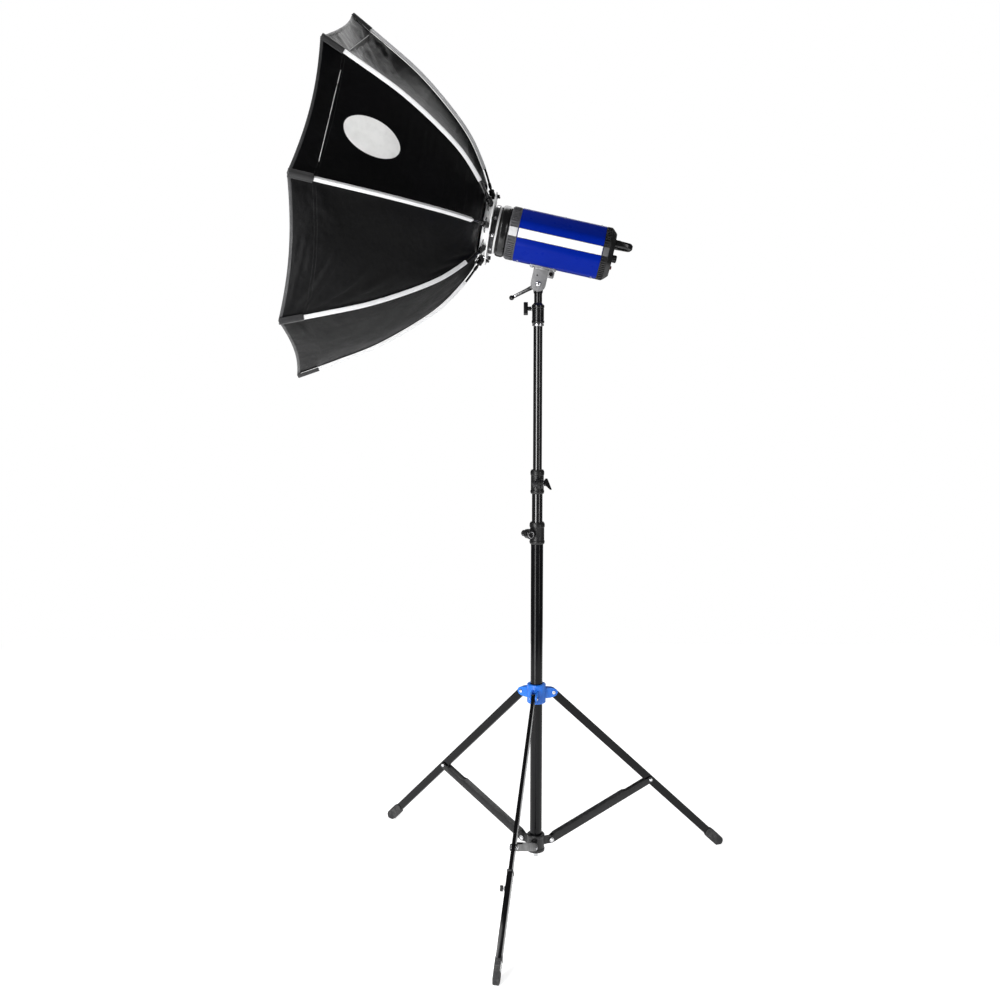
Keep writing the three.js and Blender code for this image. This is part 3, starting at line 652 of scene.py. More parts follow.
# ---- the finishes in use ----
GLOSS = black_paint("gloss_black_paint", 1.85)
LEG_PAINT = black_paint("leg_black_paint", 1.3)
SATIN = satin_paint()
PLASTIC = moulded("black_plastic", (0.005, 0.005, 0.0055), 0.4, worn=(0.06, 0.06, 0.062))
SHINY_PLASTIC = moulded("shiny_black_plastic", (0.003, 0.003, 0.0035), 0.2, 0.00002, (0.05, 0.05, 0.052))
CHROME = bright("chrome")
ZINC = bright("zinc_plate", (0.62, 0.63, 0.64), 0.3)
GREY_CAST = brushed("grey_casting", (0.29, 0.29, 0.295), 0.5, (1, 1, 1))
DARK_METAL = brushed("dark_metal", (0.06, 0.06, 0.063), 0.4, (1, 1, 1))
BLUE = blue_shell_paint()
SPIDER_BLUE = spider_plastic()
RUBBER = foot_rubber()
NYLON = moulded("white_nylon", (0.7, 0.69, 0.65), 0.45, worn=(0.8, 0.8, 0.78))
WHITE = moulded("white_enamel", (0.9, 0.9, 0.9), 0.4, 0.00002, (0.7, 0.7, 0.7))
PALE_GREY = moulded("pale_grey_plastic", (0.6, 0.6, 0.61), 0.45)
REAR_GREY = moulded("rear_grey_plastic", (0.1, 0.1, 0.105), 0.45)
DARK_GREY = moulded("dark_grey_plastic", (0.055, 0.055, 0.06), 0.48)
RED = moulded("dark_red_plastic", (0.1, 0.006, 0.006), 0.35)
CANOPY = canopy_cloth()
POCKET = tape_cloth("pocket_cloth", (0.009, 0.009, 0.01), 0.55)
BINDING = tape_cloth("grey_binding", (0.03, 0.03, 0.032), 0.5)
SLEEVE_TAPE = tape_cloth("white_sleeve_tape", (0.78, 0.78, 0.79), 0.62)
LABEL = tape_cloth("white_patch", (0.85, 0.85, 0.84), 0.5)
DIFFUSER = diffuser_cloth()
THREAD = tape_cloth("black_thread", (0.006, 0.006, 0.0065), 0.5)
SILVER = brushed("silver_lining", (0.62, 0.62, 0.62), 0.42, (1, 1, 1))
LAMP_GLASS = glass("frosted_glass", (0.9, 0.89, 0.86))
TUBE_GLASS = glass("tube_glass", (0.88, 0.9, 0.9))


# ---- column ----
def make_tube(name, body, radius, bore, low, high):
    tube = Piece(name, body, "tube_black")
    tube.add(hollow(bore, radius, low, high, 72, 0.4), LEG_PAINT if name == "lower_tube" else GLOSS)
    tube.done(COLUMN, name)


def make_bush(name, body, bore, radius, low, high):
    bush = Piece(name, body, "bush_nylon")
    bush.add(hollow(bore, radius, low, high, 56, 0.6), NYLON)
    bush.done(COLUMN, name)


def make_column():
    make_tube("lower_tube", "column_base", 17.5, 16.3, 78, 1020)
    make_tube("middle_tube", "middle_section", 15, 13.8, 200, 1167)
    make_tube("upper_tube", "upper_section", 12.5, 11.3, 640, 1598)
    make_bush("middle_tube_bush", "middle_section", 15.35, 15.9, 204, 244)
    make_bush("upper_tube_bush", "upper_section", 12.85, 13.4, 644, 680)
    plug = Piece("base_plug", "column_base", "plain_steel")
    plug.add(lathe([(0, 52), (6, 52), (6, 66), (17, 66), (17, 77.5), (0, 77.5)], 48, fillet=0.8), ZINC)
    for turn in turns(24):
        rib = block((5.7, -0.4, 53), (6.3, 0.4, 64), 0.15, 1)
        plug.add(rib, ZINC, turned(turn, "Z"))
    plug.done(COLUMN, "base_plug")


EAR_REACH, EAR_SCREW, EAR_HALF = 41, 33, 8  # out from the column's middle, and each side of the split


def make_clamp(which, body, low, high, radius, lower_bore, upper_bore, winged):
    """A split collar with two ears, and the screw through them, with a wing or a disc."""
    name, knob_name = f"{which}_clamp", f"{which}_clamp_knob"
    place = radial(joint_axis(f"{which}_knob_turn"))
    step = low + 0.55 * (high - low)
    middle = low + 31
    clamp = Piece(name, body, "casting_black")
    sleeve = [
        (lower_bore, low), (radius - 1.5, low), (radius, low + 4), (radius, low + 9),
        (radius - 1.2, low + 10.2), (radius - 1.2, high - 15.2), (radius, high - 14),
        (radius, high - 5), (radius - 2.5, high), (upper_bore, high), (upper_bore, step),
        (lower_bore, step),
    ]
    clamp.add(lathe(sleeve, 72, closed=True, fillet=0.9), PLASTIC)
    for side in (-1, 1):
        inner, outer = side * 1.0, side * EAR_HALF
        ear = [(radius - 3, middle - 13), (EAR_REACH - 7, middle - 13), (EAR_REACH, middle - 6),
               (EAR_REACH, middle + 6), (EAR_REACH - 7, middle + 13), (radius - 3, middle + 13)]
        outline = rounded(ear, 5)
        plate = prism(outline, min(inner, outer), max(inner, outer), 0.9)
        clamp.add(plate, PLASTIC, UPRIGHT)
        boss = hollow(3.4, 8.2, 0, 1.2, 32, 0.3, top=7.6)
        clamp.add(boss, PLASTIC, at(EAR_SCREW, outer - side * 1.0, middle) @ facing(side))
        end = (EAR_REACH - 10, outer + side * 0.5, middle + 1.2)
        clamp.add(block((radius - 2, inner, middle - 1.2), end, 0.4), PLASTIC)
    for height in (low + 6.5, high - 9.5):
        band = [(radius - 0.6, height - 1), (radius + 0.35, height - 0.6), (radius + 0.35, height + 0.6),
                (radius - 0.6, height + 1)]
        clamp.add(lathe(band, 72, closed=True), PLASTIC)
    clamp.done(place, name)

    knob = Piece(knob_name, f"{which}_knob", "casting_black")
    face = EAR_HALF + 0.35
    across = at(EAR_SCREW, 0, middle) @ facing(1)
    knob.add(rod(2.9, -face - 1, face + 1), CHROME, across)
    barrel = [(0, -face - 12), (7.4, -face - 12), (9, -face - 10.4), (9, -face - 7.6), (8.2, -face - 7),
              (8.2, -face - 5), (9, -face - 4.4), (9, -face - 0.2), (0, -face - 0.2)]
    knob.add(lathe(barrel, 48, fillet=0.4), DARK_METAL, across)
    socket = rod(3.6, -face - 12.4, -face - 11, 6, 0)
    knob.add(socket, CHROME, across)
    hub = [(0, face + 0.2), (6.5, face + 0.2), (6.5, face + 3), (5.8, face + 4), (5.8, face + 8),
           (0, face + 8)]
    knob.add(lathe(hub, 40, fillet=0.5), SHINY_PLASTIC, across)
    washer = hollow(3, 7.4, face - 0.3, face + 0.5, 40)
    knob.add(washer, CHROME, across)
    if winged:
        wing = [(-8, face + 3), (6, face + 3), (6, face + 9), (17, face + 21), (17, face + 26),
                (-15, face + 13), (-15, face + 8)]
        outline = rounded(wing, 1.6)
        shape = prism(outline, -3, 3, 1.0, 3)
        knob.add(shape, SHINY_PLASTIC, across @ turned(pi / 2, "Z") @ ALONG_Y)
        knob.add(rod(2.6, face + 7, face + 15, 24), CHROME, across)
    else:
        disc = [(0, face + 3), (12, face + 3), (13, face + 4.2), (13, face + 11.6), (12, face + 13),
                (6, face + 13), (5, face + 12), (0, face + 12)]
        knob.add(lathe(disc, 64, fillet=0.7), SHINY_PLASTIC, across)
        loop = [(0, 8.6 * cos(a), 8.6 * sin(a)) for a in turns(40)]
        lie = across @ at(0, 0, face + 12.8) @ turned(pi / 2, "Y")
        knob.add(sweep(loop, circle(1.1, 10), closed=True), CHROME, lie)
    knob.done(place, knob_name)


# ---- tripod ----
def cross_pin(radius, half, x=0.0, z=0.0):
    """A pin along Y."""
    neck = radius * 0.7
    profile = [(0, -half), (neck, -half), (radius, -half), (radius, half), (neck, half), (0, half)]
    return moved(lathe(profile, 28, fillet=0.2), at(x, 0, z) @ ALONG_Y)


def rivet(piece, x, z, side, face, radius, high, place=Matrix()):
    """A domed rivet head on the plane y = side * face."""
    profile = [(0, -0.3), (radius, -0.3), (radius, 0.5), (radius * 0.82, high * 0.8), (radius * 0.45, high),
               (0, high)]
    piece.add(lathe(profile, 28, fillet=0.4), CHROME, place @ at(x, side * face, z) @ facing(side))


COLLAR_BORE = 17.85
BASE_PIN = (47, 98)  # out from the column's middle, and up
SPIDER_PIN_HEIGHT = 547
SPIDER_KNOB_HEIGHT = 560


def arm_frames():
    return [radial(joint_axis(f"leg_{name}_fold")) for name in LEG_NAMES]


def in_column(place):
    return COLUMN.inverted() @ place


def make_base():
    base = Piece("base_collar", "column_base", "casting_black")
    sleeve = [(COLLAR_BORE, 70), (24.5, 70), (26, 72), (26, 79), (24.6, 81), (24.6, 112), (26, 114),
              (26, 120), (24.5, 122), (COLLAR_BORE, 122)]
    base.add(lathe(sleeve, 80, closed=True, fillet=0.7), PLASTIC)
    for place in arm_frames():
        local = in_column(place)
        tongue = prism(stadium(22, BASE_PIN[0], 20), -7.9, 7.9, 1.2, 3)
        base.add(tongue, PLASTIC, local @ at(0, 0, BASE_PIN[1]) @ ALONG_Y)
        for side in (-1, 1):
            web = block((23, side * 7.4, 88), (31, side * 9.2, 110), 0.8)
            base.add(web, PLASTIC, local)
        base.add(cross_pin(2.9, 11.6, *BASE_PIN), CHROME, local)
        for side in (-1, 1):
            rivet(base, *BASE_PIN, side, 10.2, 5, 1.9, local)
    base.done(COLUMN, "base_collar")


def make_spider():
    low, high = 521, 577
    collar = Piece("spider_collar", "spider", "spider_blue")
    sleeve = [(COLLAR_BORE, low), (25.5, low), (27, low + 2), (27, high - 2), (25.5, high),
              (COLLAR_BORE, high)]
    collar.add(lathe(sleeve, 96, closed=True, fillet=1.2), SPIDER_BLUE)
    for place in arm_frames():
        local = in_column(place) @ at(0, 0, SPIDER_PIN_HEIGHT)
        for side in (-1, 1):
            middle = side * 8.1
            cheek = [(22, -15), (40, -14.5), (50, -13), (58, -9.5), (62.5, -3), (62.8, 3), (58, 9.5),
                     (50, 13), (38, 15), (22, 17)]
            outline = rounded(cheek, 6, 4)
            plate = prism(outline, middle - 2.5, middle + 2.5, 1.1, 3)
            collar.add(plate, SPIDER_BLUE, local @ UPRIGHT)
            boss = hollow(3.3, 8.5, 0, 0.9, 36, 0.25, top=8)
            collar.add(boss, SPIDER_BLUE, local @ at(50, side * 10.2, 0) @ facing(side))
        collar.add(block((24, -8, 10), (30, 8, 13), 0.8), SPIDER_BLUE, local)
    back = in_column(radial(-joint_axis("leg_front_fold")))
    boss = lathe([(3.4, 22), (8, 22), (8, 34), (7.2, 36), (3.4, 36)], 40, closed=True, fillet=0.5)
    collar.add(boss, SPIDER_BLUE, back @ at(0, 0, SPIDER_KNOB_HEIGHT) @ ALONG_X)
    collar.done(COLUMN, "spider_collar")

    knob = Piece("spider_knob", "spider_knob", "casting_black")
    knob.add(rod(2.9, 18.6, 44), CHROME, ALONG_X)
    hub = lathe([(0, 36.4), (7, 36.4), (7, 43), (6, 46), (0, 46)], 40, fillet=0.6)
    knob.add(hub, SHINY_PLASTIC, ALONG_X)
    wing = [(-14, -2.4), (-10, -4), (0, -5.4), (10, -4), (14, -2.4), (14, 2.4), (10, 4), (0, 5.4), (-10, 4),
            (-14, 2.4)]
    outline = rounded(wing, 2.5)
    knob.add(prism(outline, -3.5, 3.5, 1.2, 3), SHINY_PLASTIC, at(48, 0, 0) @ ALONG_Y)
    knob.done(COLUMN @ back @ at(0, 0, SPIDER_KNOB_HEIGHT), "spider_knob")

    for name in LEG_NAMES:
        place, _ = leg_frame(name)
        pin = Piece(f"leg_pin_{name}", "spider", "bright_steel")
        pin.add(cross_pin(2.9, 12), CHROME)
        for side in (-1, 1):
            rivet(pin, 0, 0, side, 11, 5.5, 1.9)
        pin.done(place, f"leg_pin_{name}")


SLEEVE_START, SLEEVE_END, SLEEVE_KNOB = 505, 744, 551


def make_leg(name):
    place, length = leg_frame(name)
    bar_end = length - 34
    leg = Piece(f"leg_{name}", f"leg_{name}", "tube_black")
    outline = [(bar_end, -12), (bar_end, 12)] + arc(12, pi / 2, 1.5 * pi, 16)
    leg.add(prism(outline, -5, 5, 1.6, 3), LEG_PAINT, ALONG_Y)
    knee = length * KNEE_SHARE
    for side in (-1, 1):
        ring = hollow(3.2, 7.5, 0, 0.45, 32)
        leg.add(ring, ZINC, at(knee, side * 5, 0) @ facing(side))
        ring = hollow(3.2, 8.5, 0, 0.45, 32)
        leg.add(ring, ZINC, at(0, side * 5, 0) @ facing(side))
    leg.done(place, f"leg_{name}")

    levelled = name == "front"
    body = "levelling_foot" if levelled else f"leg_{name}"
    foot = Piece(f"foot_{name}", body, "foot_rubber")
    foot.add(clipped_boot(place, length), RUBBER)
    start = length - 42
    for step in range(5):
        x = start + 2 + 6 * step
        band = prism(rounded_box(15.3, 8.3, 4), x - 1.1, x + 1.1, 0.5, 1)
        foot.add(band, RUBBER, DOWN_LEG)
    if levelled:
        foot.add(block((length - 41.5, -8.25, -13), (length - 15, 8.25, 13), 1.0), ZINC)
    foot.done(place, f"foot_{name}")


def rounded_box(half_x, half_y, radius):
    corners = [(half_x, -half_y), (half_x, half_y), (-half_x, half_y), (-half_x, -half_y)]
    return rounded(corners, radius, 4)


def clipped_boot(place, length):
    """A boot with a round toe, cut flat where it stands on the floor."""
    outline = stadium(length - 42, length, 30, 16)
    shape = moved(prism(outline, -8, 8, 1.8, 3), ALONG_Y)
    mesh = opened(shape, place)
    geometry = mesh.verts[:] + mesh.edges[:] + mesh.faces[:]
    cut = bmesh.ops.bisect_plane(mesh, geom=geometry, plane_co=(0, 0, 0.0001), plane_no=(0, 0, 1),
                                 clear_inner=True)
    edges = [part for part in cut["geom_cut"] if isinstance(part, bmesh.types.BMEdge)]
    bmesh.ops.contextual_create(mesh, geom=edges)
    return read_back(mesh, place.inverted())


def make_levelling():
    place, _ = leg_frame("front")
    sleeve = Piece("levelling_sleeve", "levelling_foot", "tube_black")
    outside, inside = rounded_box(14.5, 7.2, 2.4), rounded_box(12.6, 5.6, 1.6)
    sleeve.add(channel_tube(outside, inside, SLEEVE_START, SLEEVE_END), LEG_PAINT, DOWN_LEG)
    lip = channel_tube(rounded_box(15.2, 7.9, 2.6), rounded_box(12.9, 5.9, 1.6), SLEEVE_START - 0.5,
                       SLEEVE_START + 5)
    sleeve.add(lip, PLASTIC, DOWN_LEG)
    boss = hollow(2.6, 7, 0, 3.2, 32, 0.4, top=6.4)
    sleeve.add(boss, PLASTIC, at(SLEEVE_KNOB, -7.2, 0) @ ALONG_Y)
    sleeve.done(place, "levelling_sleeve")

    knob = Piece("levelling_knob", "levelling_knob", "casting_black")
    across = at(SLEEVE_KNOB, 0, 0) @ ALONG_Y
    knob.add(rod(2.1, 5.8, 20), CHROME, across)
    knob.add(prism(fluted(7.6, 0.4, 12), 13.6, 21.4, 0.8, 2), SHINY_PLASTIC, across)
    knob.done(place, "levelling_knob")


def channel_tube(outside, inside, low, high):
    """A tube of any section along Z, closed over at its ends."""
    wall = (Vector(outside[0]) - Vector(inside[0])).length
    points = []
    for section, height in ((outside, low), (outside, high), (inside, high), (inside, low)):
        points += [(x, y, height) for x, y in section]
    return bevelled((points, skin(4, len(outside), True)), min(0.4, wall * 0.3), 2, rims_only=True)


def make_brace(name):
    place, length = brace_frame(name)
    brace = Piece(f"brace_{name}", f"brace_{name}", "brace_black")
    half, top, notch = 9, 13.7, 92
    outer, inner = 9.8, 8.4
    right = arc(half, -pi / 2, pi / 2, 14, length)
    left = arc(half, pi / 2, 1.5 * pi, 14)
    outline = right + [(length - notch + 12, half), (length - notch, top - 0.6), (16, top - 0.6)] + left
    for side in (-1, 1):
        plate = prism(outline, -0.7, 0.7, 0.35, 2)
        brace.add(plate, SATIN, at(0, side * (outer + inner) / 2, 0) @ ALONG_Y)
        ring = hollow(3.2, 7, 0, 0.4, 32)
        brace.add(ring, ZINC, at(0, side * outer, 0) @ facing(side))
        rivet(brace, length, 0, side, outer, 5, 1.6)
        stub = rod(5, 0, 3.2, 28, 0.3)
        brace.add(stub, CHROME, at(length, side * 5.8, 0) @ facing(side))
    section = rounded([(-outer, 12.3), (-outer, top), (outer, top), (outer, 12.3)], 1.2, 4)
    web = prism(section, 15, length - notch + 1, 0.3, 1)
    brace.add(web, SATIN, ALONG_X)
    brace.done(place, f"brace_{name}")


# ---- lamp adapter ----
KNOB_HEIGHT = 1646


def make_adapter():
    spigot = Piece("top_spigot", "upper_section", "bright_steel")
    profile = [(0, 1540), (11, 1540), (11, 1598.3), (16, 1598.3), (16, 1605), (8, 1605), (8, 1650),
               (0, 1650)]
    spigot.add(lathe(profile, 64, fillet=0.8), CHROME)
    spigot.done(COLUMN, "top_spigot")

    adapter = Piece("stand_adapter", "adapter", "casting_black")
    socket = [(8.4, 1605.4), (16, 1605.4), (17.5, 1608), (17.5, 1613), (16.4, 1614.4), (16.4, 1648),
              (17.5, 1650), (17.5, 1655), (11, 1662), (11, 1690), (0, 1690), (0, 1652), (8.4, 1652)]
    adapter.add(lathe(socket, 72, closed=True, fillet=0.9), SHINY_PLASTIC)
    tongue = prism(stadium(-4, 16, 26, 18), -6, 6, 1.2, 3)
    adapter.add(tongue, SHINY_PLASTIC, at(0, 0, 1697) @ turned(-pi / 2, "Y") @ ALONG_Y)
    for height in (1620, 1642):
        adapter.add(lathe([(16.2, height), (16.9, height + 0.6), (16.9, height + 2.4), (16.2, height + 3)],
                          72, closed=True), SHINY_PLASTIC)
    boss = hollow(3.4, 8, 14, 17.6, 36, 0.4, top=7.4)
    adapter.add(boss, SHINY_PLASTIC, at(0, 0, KNOB_HEIGHT) @ BACKWARDS)
    adapter.done(COLUMN, "stand_adapter")

    knob = Piece("adapter_knob", "adapter_knob", "casting_black")
    away = at(0, 0, KNOB_HEIGHT) @ turned(pi, "Z")
    knob.add(rod(2.9, 8.8, 30), CHROME, away @ ALONG_X)
    knob.add(lathe([(0, 18.4), (6, 18.4), (6, 26), (5, 28), (0, 28)], 40, fillet=0.5), SHINY_PLASTIC,
             away @ ALONG_X)
    lower_side = [(-18, -2.6), (-12, -5.4), (-4, -6), (4, -6), (12, -5.4), (18, -2.6)]
    grip = lower_side + [(-x, -y) for x, y in lower_side]
    outline = rounded(grip, 3, 4)
    knob.add(prism(outline, -6, 6, 1.8, 3), SHINY_PLASTIC, away @ at(34, 0, 0) @ turned(-pi / 2, "Y"))
    knob.done(COLUMN, "adapter_knob")


# ---- flash head ----
SHELL_HALF, SHELL_FLAT = 70.5, 31.0
SHELL_REAR, SHELL_FRONT = -176, 57
STRIPE_HALF = 11.8


def housing_outline(inset):
    """The housing's section, an octagon with softened corners, as (v, w) points."""
    half = SHELL_HALF - inset
    flat = SHELL_FLAT - inset * math.tan(pi / 8)
    corners = []
    for quarter in range(4):
        turn = Matrix.Rotation(quarter * pi / 2, 2)
        corners += [turn @ Vector((half, side)) for side in (-flat, flat)]
    outline = []
    for index, corner in enumerate(corners):
        start = corner.lerp(corners[index - 1], 0.16)
        end = corner.lerp(corners[(index + 1) % 8], 0.16)
        for share in np.linspace(0, 1, 6):
            outline.append(start.lerp(corner, share).lerp(corner.lerp(end, share), share))
    return outline


def housing_loft(profile):
    """Rings of the housing's outline at (u, inset) places along the lamp axis."""
    profile = filleted(profile, 1.2, closed=True)
    points = [(u, v, w) for u, inset in profile for v, w in housing_outline(inset)]
    return points, skin(len(profile), len(points) // len(profile), True)


def facet_frames(inset):
    """A frame for each of the eight facets: +Z out of it, +X along the lamp axis; and its width."""
    frames = []
    straight = (SHELL_HALF, 2 * SHELL_FLAT)
    slanted = ((SHELL_HALF + SHELL_FLAT) / math.sqrt(2), (SHELL_HALF - SHELL_FLAT) * math.sqrt(2))
    for facet in range(8):
        distance, width = slanted if facet % 2 else straight
        frames.append((turned(facet * pi / 4, "X") @ at(0, 0, distance - inset), width))
    return frames


def fins(piece, material, inset, low, high, count, thick, tall, skip=()):
    """Fins along the lamp axis, side by side on each facet."""
    for facet, (place, width) in enumerate(facet_frames(inset)):
        spots = np.linspace(-0.5, 0.5, count) * (width - 9)
        for spot in spots:
            if facet in skip and abs(spot) < 14:
                continue
            fin = block((low, spot - thick / 2, -0.6), (high, spot + thick / 2, tall), 0.45, 2)
            piece.add(fin, material, place)


def make_shell():
    shell = Piece("head_shell", "head", "shell_blue")
    shell.sharp = radians(18)
    shell.add(housing_loft([(SHELL_REAR, 0), (SHELL_FRONT, 0), (SHELL_FRONT, 2), (SHELL_REAR, 2)]), BLUE)
    rear, front, edge = SHELL_REAR + 1, SHELL_FRONT - 1, STRIPE_HALF + 1.4
    for turn in (pi / 2, -pi / 2):
        side = turned(turn, "X") @ at(0, 0, SHELL_HALF)
        shell.add(block((rear, -STRIPE_HALF, -0.4), (front, STRIPE_HALF, 0.35), 0.2, 1), WHITE, side)
        shell.add(block((rear, -edge, -0.4), (front, -STRIPE_HALF, 0.12), 0.05, 1), PLASTIC, side)
        shell.add(block((rear, STRIPE_HALF, -0.4), (front, edge, 0.12), 0.05, 1), PLASTIC, side)
    for u in (-162, -60, 43):
        for v in (-22, 22):
            for turn in (0, pi):
                screw = lathe([(0, -0.5), (3.1, -0.5), (3.1, 0.3), (2.2, 0.9), (0, 0.9)], 24, fillet=0.15)
                shell.add(screw, ZINC, turned(turn, "X") @ at(u, v, SHELL_HALF))
    shell.done(HEAD, "head_shell")

    bezel = Piece("front_bezel", "head", "head_black")
    bezel.sharp = radians(25)
    profile = [(57.35, 0.6), (60, 0.6), (61.4, 3.6), (78, 3.6), (79.5, 1.2), (84, 3.5), (84, 22),
               (57.35, 22)]
    bezel.add(housing_loft(profile), DARK_GREY)
    fins(bezel, DARK_GREY, 3.6, 60.5, 79.5, 8, 3.0, 3.1, skip=(2, 6))
    for turn in (pi / 2, -pi / 2):
        insert = block((59, -STRIPE_HALF, -4), (82, STRIPE_HALF, 0.2), 0.8)
        bezel.add(insert, PALE_GREY, turned(turn, "X") @ at(0, 0, SHELL_HALF - 0.6))
    for place, _ in facet_frames(3.2)[1::2]:
        screw = rod(2.6, -3, 0.5, 20, 0.2)
        bezel.add(screw, ZINC, place @ at(82.2, 0, -6) @ ALONG_X)
    bezel.done(HEAD, "front_bezel")

    nose = Piece("front_ring", "head", "head_black")
    profile = [(50, 84.4), (62, 84.4), (67.4, 87), (69.5, 92.5), (69.5, 103), (67.4, 108.4), (62, 111),
               (55, 111), (53, 108), (50, 108)]
    nose.add(lathe(profile, 96, closed=True, fillet=2.4), SHINY_PLASTIC, ALONG_X)
    nose.done(HEAD, "front_ring")


def make_mount():
    mount = Piece("bayonet_mount", "head", "mount_metal")
    profile = [(50, 111.4), (56, 111.4), (56, 118), (66, 118), (66, 128), (59.5, 128), (59.5, 150),
               (50, 150)]
    mount.add(lathe(profile, 96, closed=True, fillet=0.8), DARK_METAL, ALONG_X)
    collar = [(55.5, 112), (63.5, 112), (64.5, 113), (64.5, 116.6), (63.5, 117.6), (55.5, 117.6)]
    mount.add(lathe(collar, 96, closed=True, fillet=0.6), WHITE, ALONG_X)
    # Black discs are painted where the mount's perforations are: painted shade in place of real holes.
    for turn in turns(18):
        painted_hole_shade = rod(2.2, -0.6, 0.25, 16, 0)
        mount.add(painted_hole_shade, PLASTIC, turned(turn, "X") @ at(123, 0, 66))
    for turn in turns(9, 0.2):
        lug = block((119.6, -5, 64), (126.4, 5, 66.8), 1.0)
        mount.add(lug, CHROME, turned(turn, "X"))
    mount.done(HEAD, "bayonet_mount")

    base = Piece("lamp_base", "head", "lamp_ceramic")
    base.add(lathe([(0, 72), (49, 72), (49, 88), (45, 91), (40, 94), (20, 94), (18, 92), (0, 92)], 72,
                   fillet=1.0), WHITE, ALONG_X)
    # Black slots are painted where the lamp base's vents are: painted shade in place of real openings.
    for turn in turns(12):
        painted_vent_shade = block((93.2, -2, 24), (94.5, 2, 37), 0.4, 1)
        base.add(painted_vent_shade, PLASTIC, turned(turn, "X"))
    base.done(HEAD, "lamp_base")

    tube = Piece("flash_tube", "head", "lamp_glass")
    loop = [(112, 31 * sin(a), 31 * cos(a)) for a in turns(72)]
    tube.add(sweep(loop, circle(3.9, 18), closed=True), TUBE_GLASS)
    wire = [(112 + 2.2 * cos(9 * a), 31 * sin(a) * 1.05, 31 * cos(a) * 1.05)
            for a in turns(160)]
    tube.add(sweep(wire, circle(0.45, 6), closed=True), CHROME)
    for side in (-1, 1):
        foot = rod(3, 94.5, 112, 24, 0.3)
        tube.add(foot, CHROME, at(0, side * 31, 0) @ ALONG_X)
    tube.done(HEAD, "flash_tube")

    bulb = Piece("modelling_lamp", "head", "lamp_glass")
    bulb.add(lathe([(0, 94.4), (13, 94.4), (13, 100), (11.5, 101), (13, 102), (13, 108)], 56, fillet=0.6),
             CHROME, ALONG_X)
    bulb.add(lathe([(0, 107), (12.4, 108), (14, 114), (17.6, 124), (17.8, 130), (16, 141), (11, 149.5),
                    (5, 153.2), (0, 154)], 56, fillet=3), LAMP_GLASS, ALONG_X)
    bulb.done(HEAD, "modelling_lamp")


PANEL_FACE = -206
DIAL_AT = at(0, 24, -10)


def make_rear():
    cap = Piece("rear_cap", "head", "head_black")
    cap.sharp = radians(22)
    profile = [(-176.35, 0), (-178, 0), (-179.5, 2.6), (-191, 2.6), (-193, 0.4), (-197, 3.4), (-202, 8),
               (-207, 13), (-207, 17), (-200, 17), (-189, 4.4), (-176.35, 4.4)]
    cap.add(housing_loft(profile), PLASTIC)
    fins(cap, PLASTIC, 2.6, -192.5, -178.5, 8, 3.0, 2.3, skip=(2, 6))
    for turn in (pi / 2, -pi / 2):
        insert = block((-193, -STRIPE_HALF, -4), (-178, STRIPE_HALF, 0.1), 0.8)
        cap.add(insert, REAR_GREY, turned(turn, "X") @ at(0, 0, SHELL_HALF - 0.2))
    cap.done(HEAD, "rear_cap")

    finish_node("rear_panel", DARK_GREY, 0.0004)
    finish_node("power_inlet", SHINY_PLASTIC, 0.0005)
    pins = Piece("inlet_pins", "head", "bright_steel")
    for v, w in ((-6 - 7, -44), (-6 + 7, -44), (-6, -41)):
        blade = block((-196, v - 1, w - 2.4), (-188.5, v + 1, w + 2.4), 0.5)
        pins.add(blade, CHROME)
    for v in (-22, 10):
        screw = rod(2.6, -1.2, 0.8, 20, 0.3)
        pins.add(screw, ZINC, at(PANEL_FACE, v, -53) @ BACKWARDS)
    pins.done(HEAD)

    marks = Piece("dial_marks", "head", "panel_grey")
    for turn in np.linspace(-150, 150, 11):
        tick = block((-206.25, -0.45, 13), (-205.9, 0.45, 16))
        marks.add(tick, WHITE, DIAL_AT @ turned(radians(turn), "X"))
    for v in (-14, 0, 14):
        lens = lathe([(0, -0.5), (2.5, -0.5), (2.5, 0.6), (0, 1)], 20, fillet=0.2)
        marks.add(lens, RED if v < 0 else WHITE, at(PANEL_FACE, v, 22) @ BACKWARDS)
    marks.done(HEAD)

    dial = Piece("power_dial", "power_dial", "head_black")
    profile = [(0, -197), (3, -197), (3, -206.4), (11, -206.4), (11, -208), (10, -209), (9.6, -218.4),
               (8.4, -220), (0, -220)]
    dial.add(lathe(profile, 64, fillet=0.8), SHINY_PLASTIC, ALONG_X)
    for turn in turns(28):
        dial.add(block((-218.4, -0.6, 9), (-209.4, 0.6, 10.4), 0.35, 1), SHINY_PLASTIC, turned(turn, "X"))
    dial.add(block((-220.2, -0.7, 2), (-219.7, 0.7, 8)), WHITE)
    dial.done(HEAD @ DIAL_AT, "power_dial")

    button = Piece("test_button", "test_button", "button_red")
    button.add(lathe([(0, -211), (4, -211), (5, -210), (5, -197), (0, -197)], 36, fillet=0.6), RED, ALONG_X)
    button.done(HEAD @ at(0, 34, -36), "test_button")

    switch = Piece("power_switch", "power_switch", "head_black")
    rocker = [(-201, -9.5), (-201, 9.5), (-206.5, 9.5), (-209, 0), (-207.5, -9.5)]
    outline = rounded(rocker, 1.2)
    switch.add(prism(outline, -6, 6, 0.6, 2), SHINY_PLASTIC,
               UPRIGHT)
    switch.add(block((-207.9, -3.5, 4), (-207.4, 3.5, 5)), WHITE)
    switch.done(HEAD @ at(0, -30, -8), "power_switch")


def finish_node(name, material, width):
    """Keeps a CAD node and gives it a material and softened edges."""
    node = frame["nodes"][name]
    node.data.materials.clear()
    node.data.materials.append(material)
    modifier = node.modifiers.new("edge", "BEVEL")
    modifier.width = width
    modifier.segments = 2
    modifier.limit_method = "ANGLE"


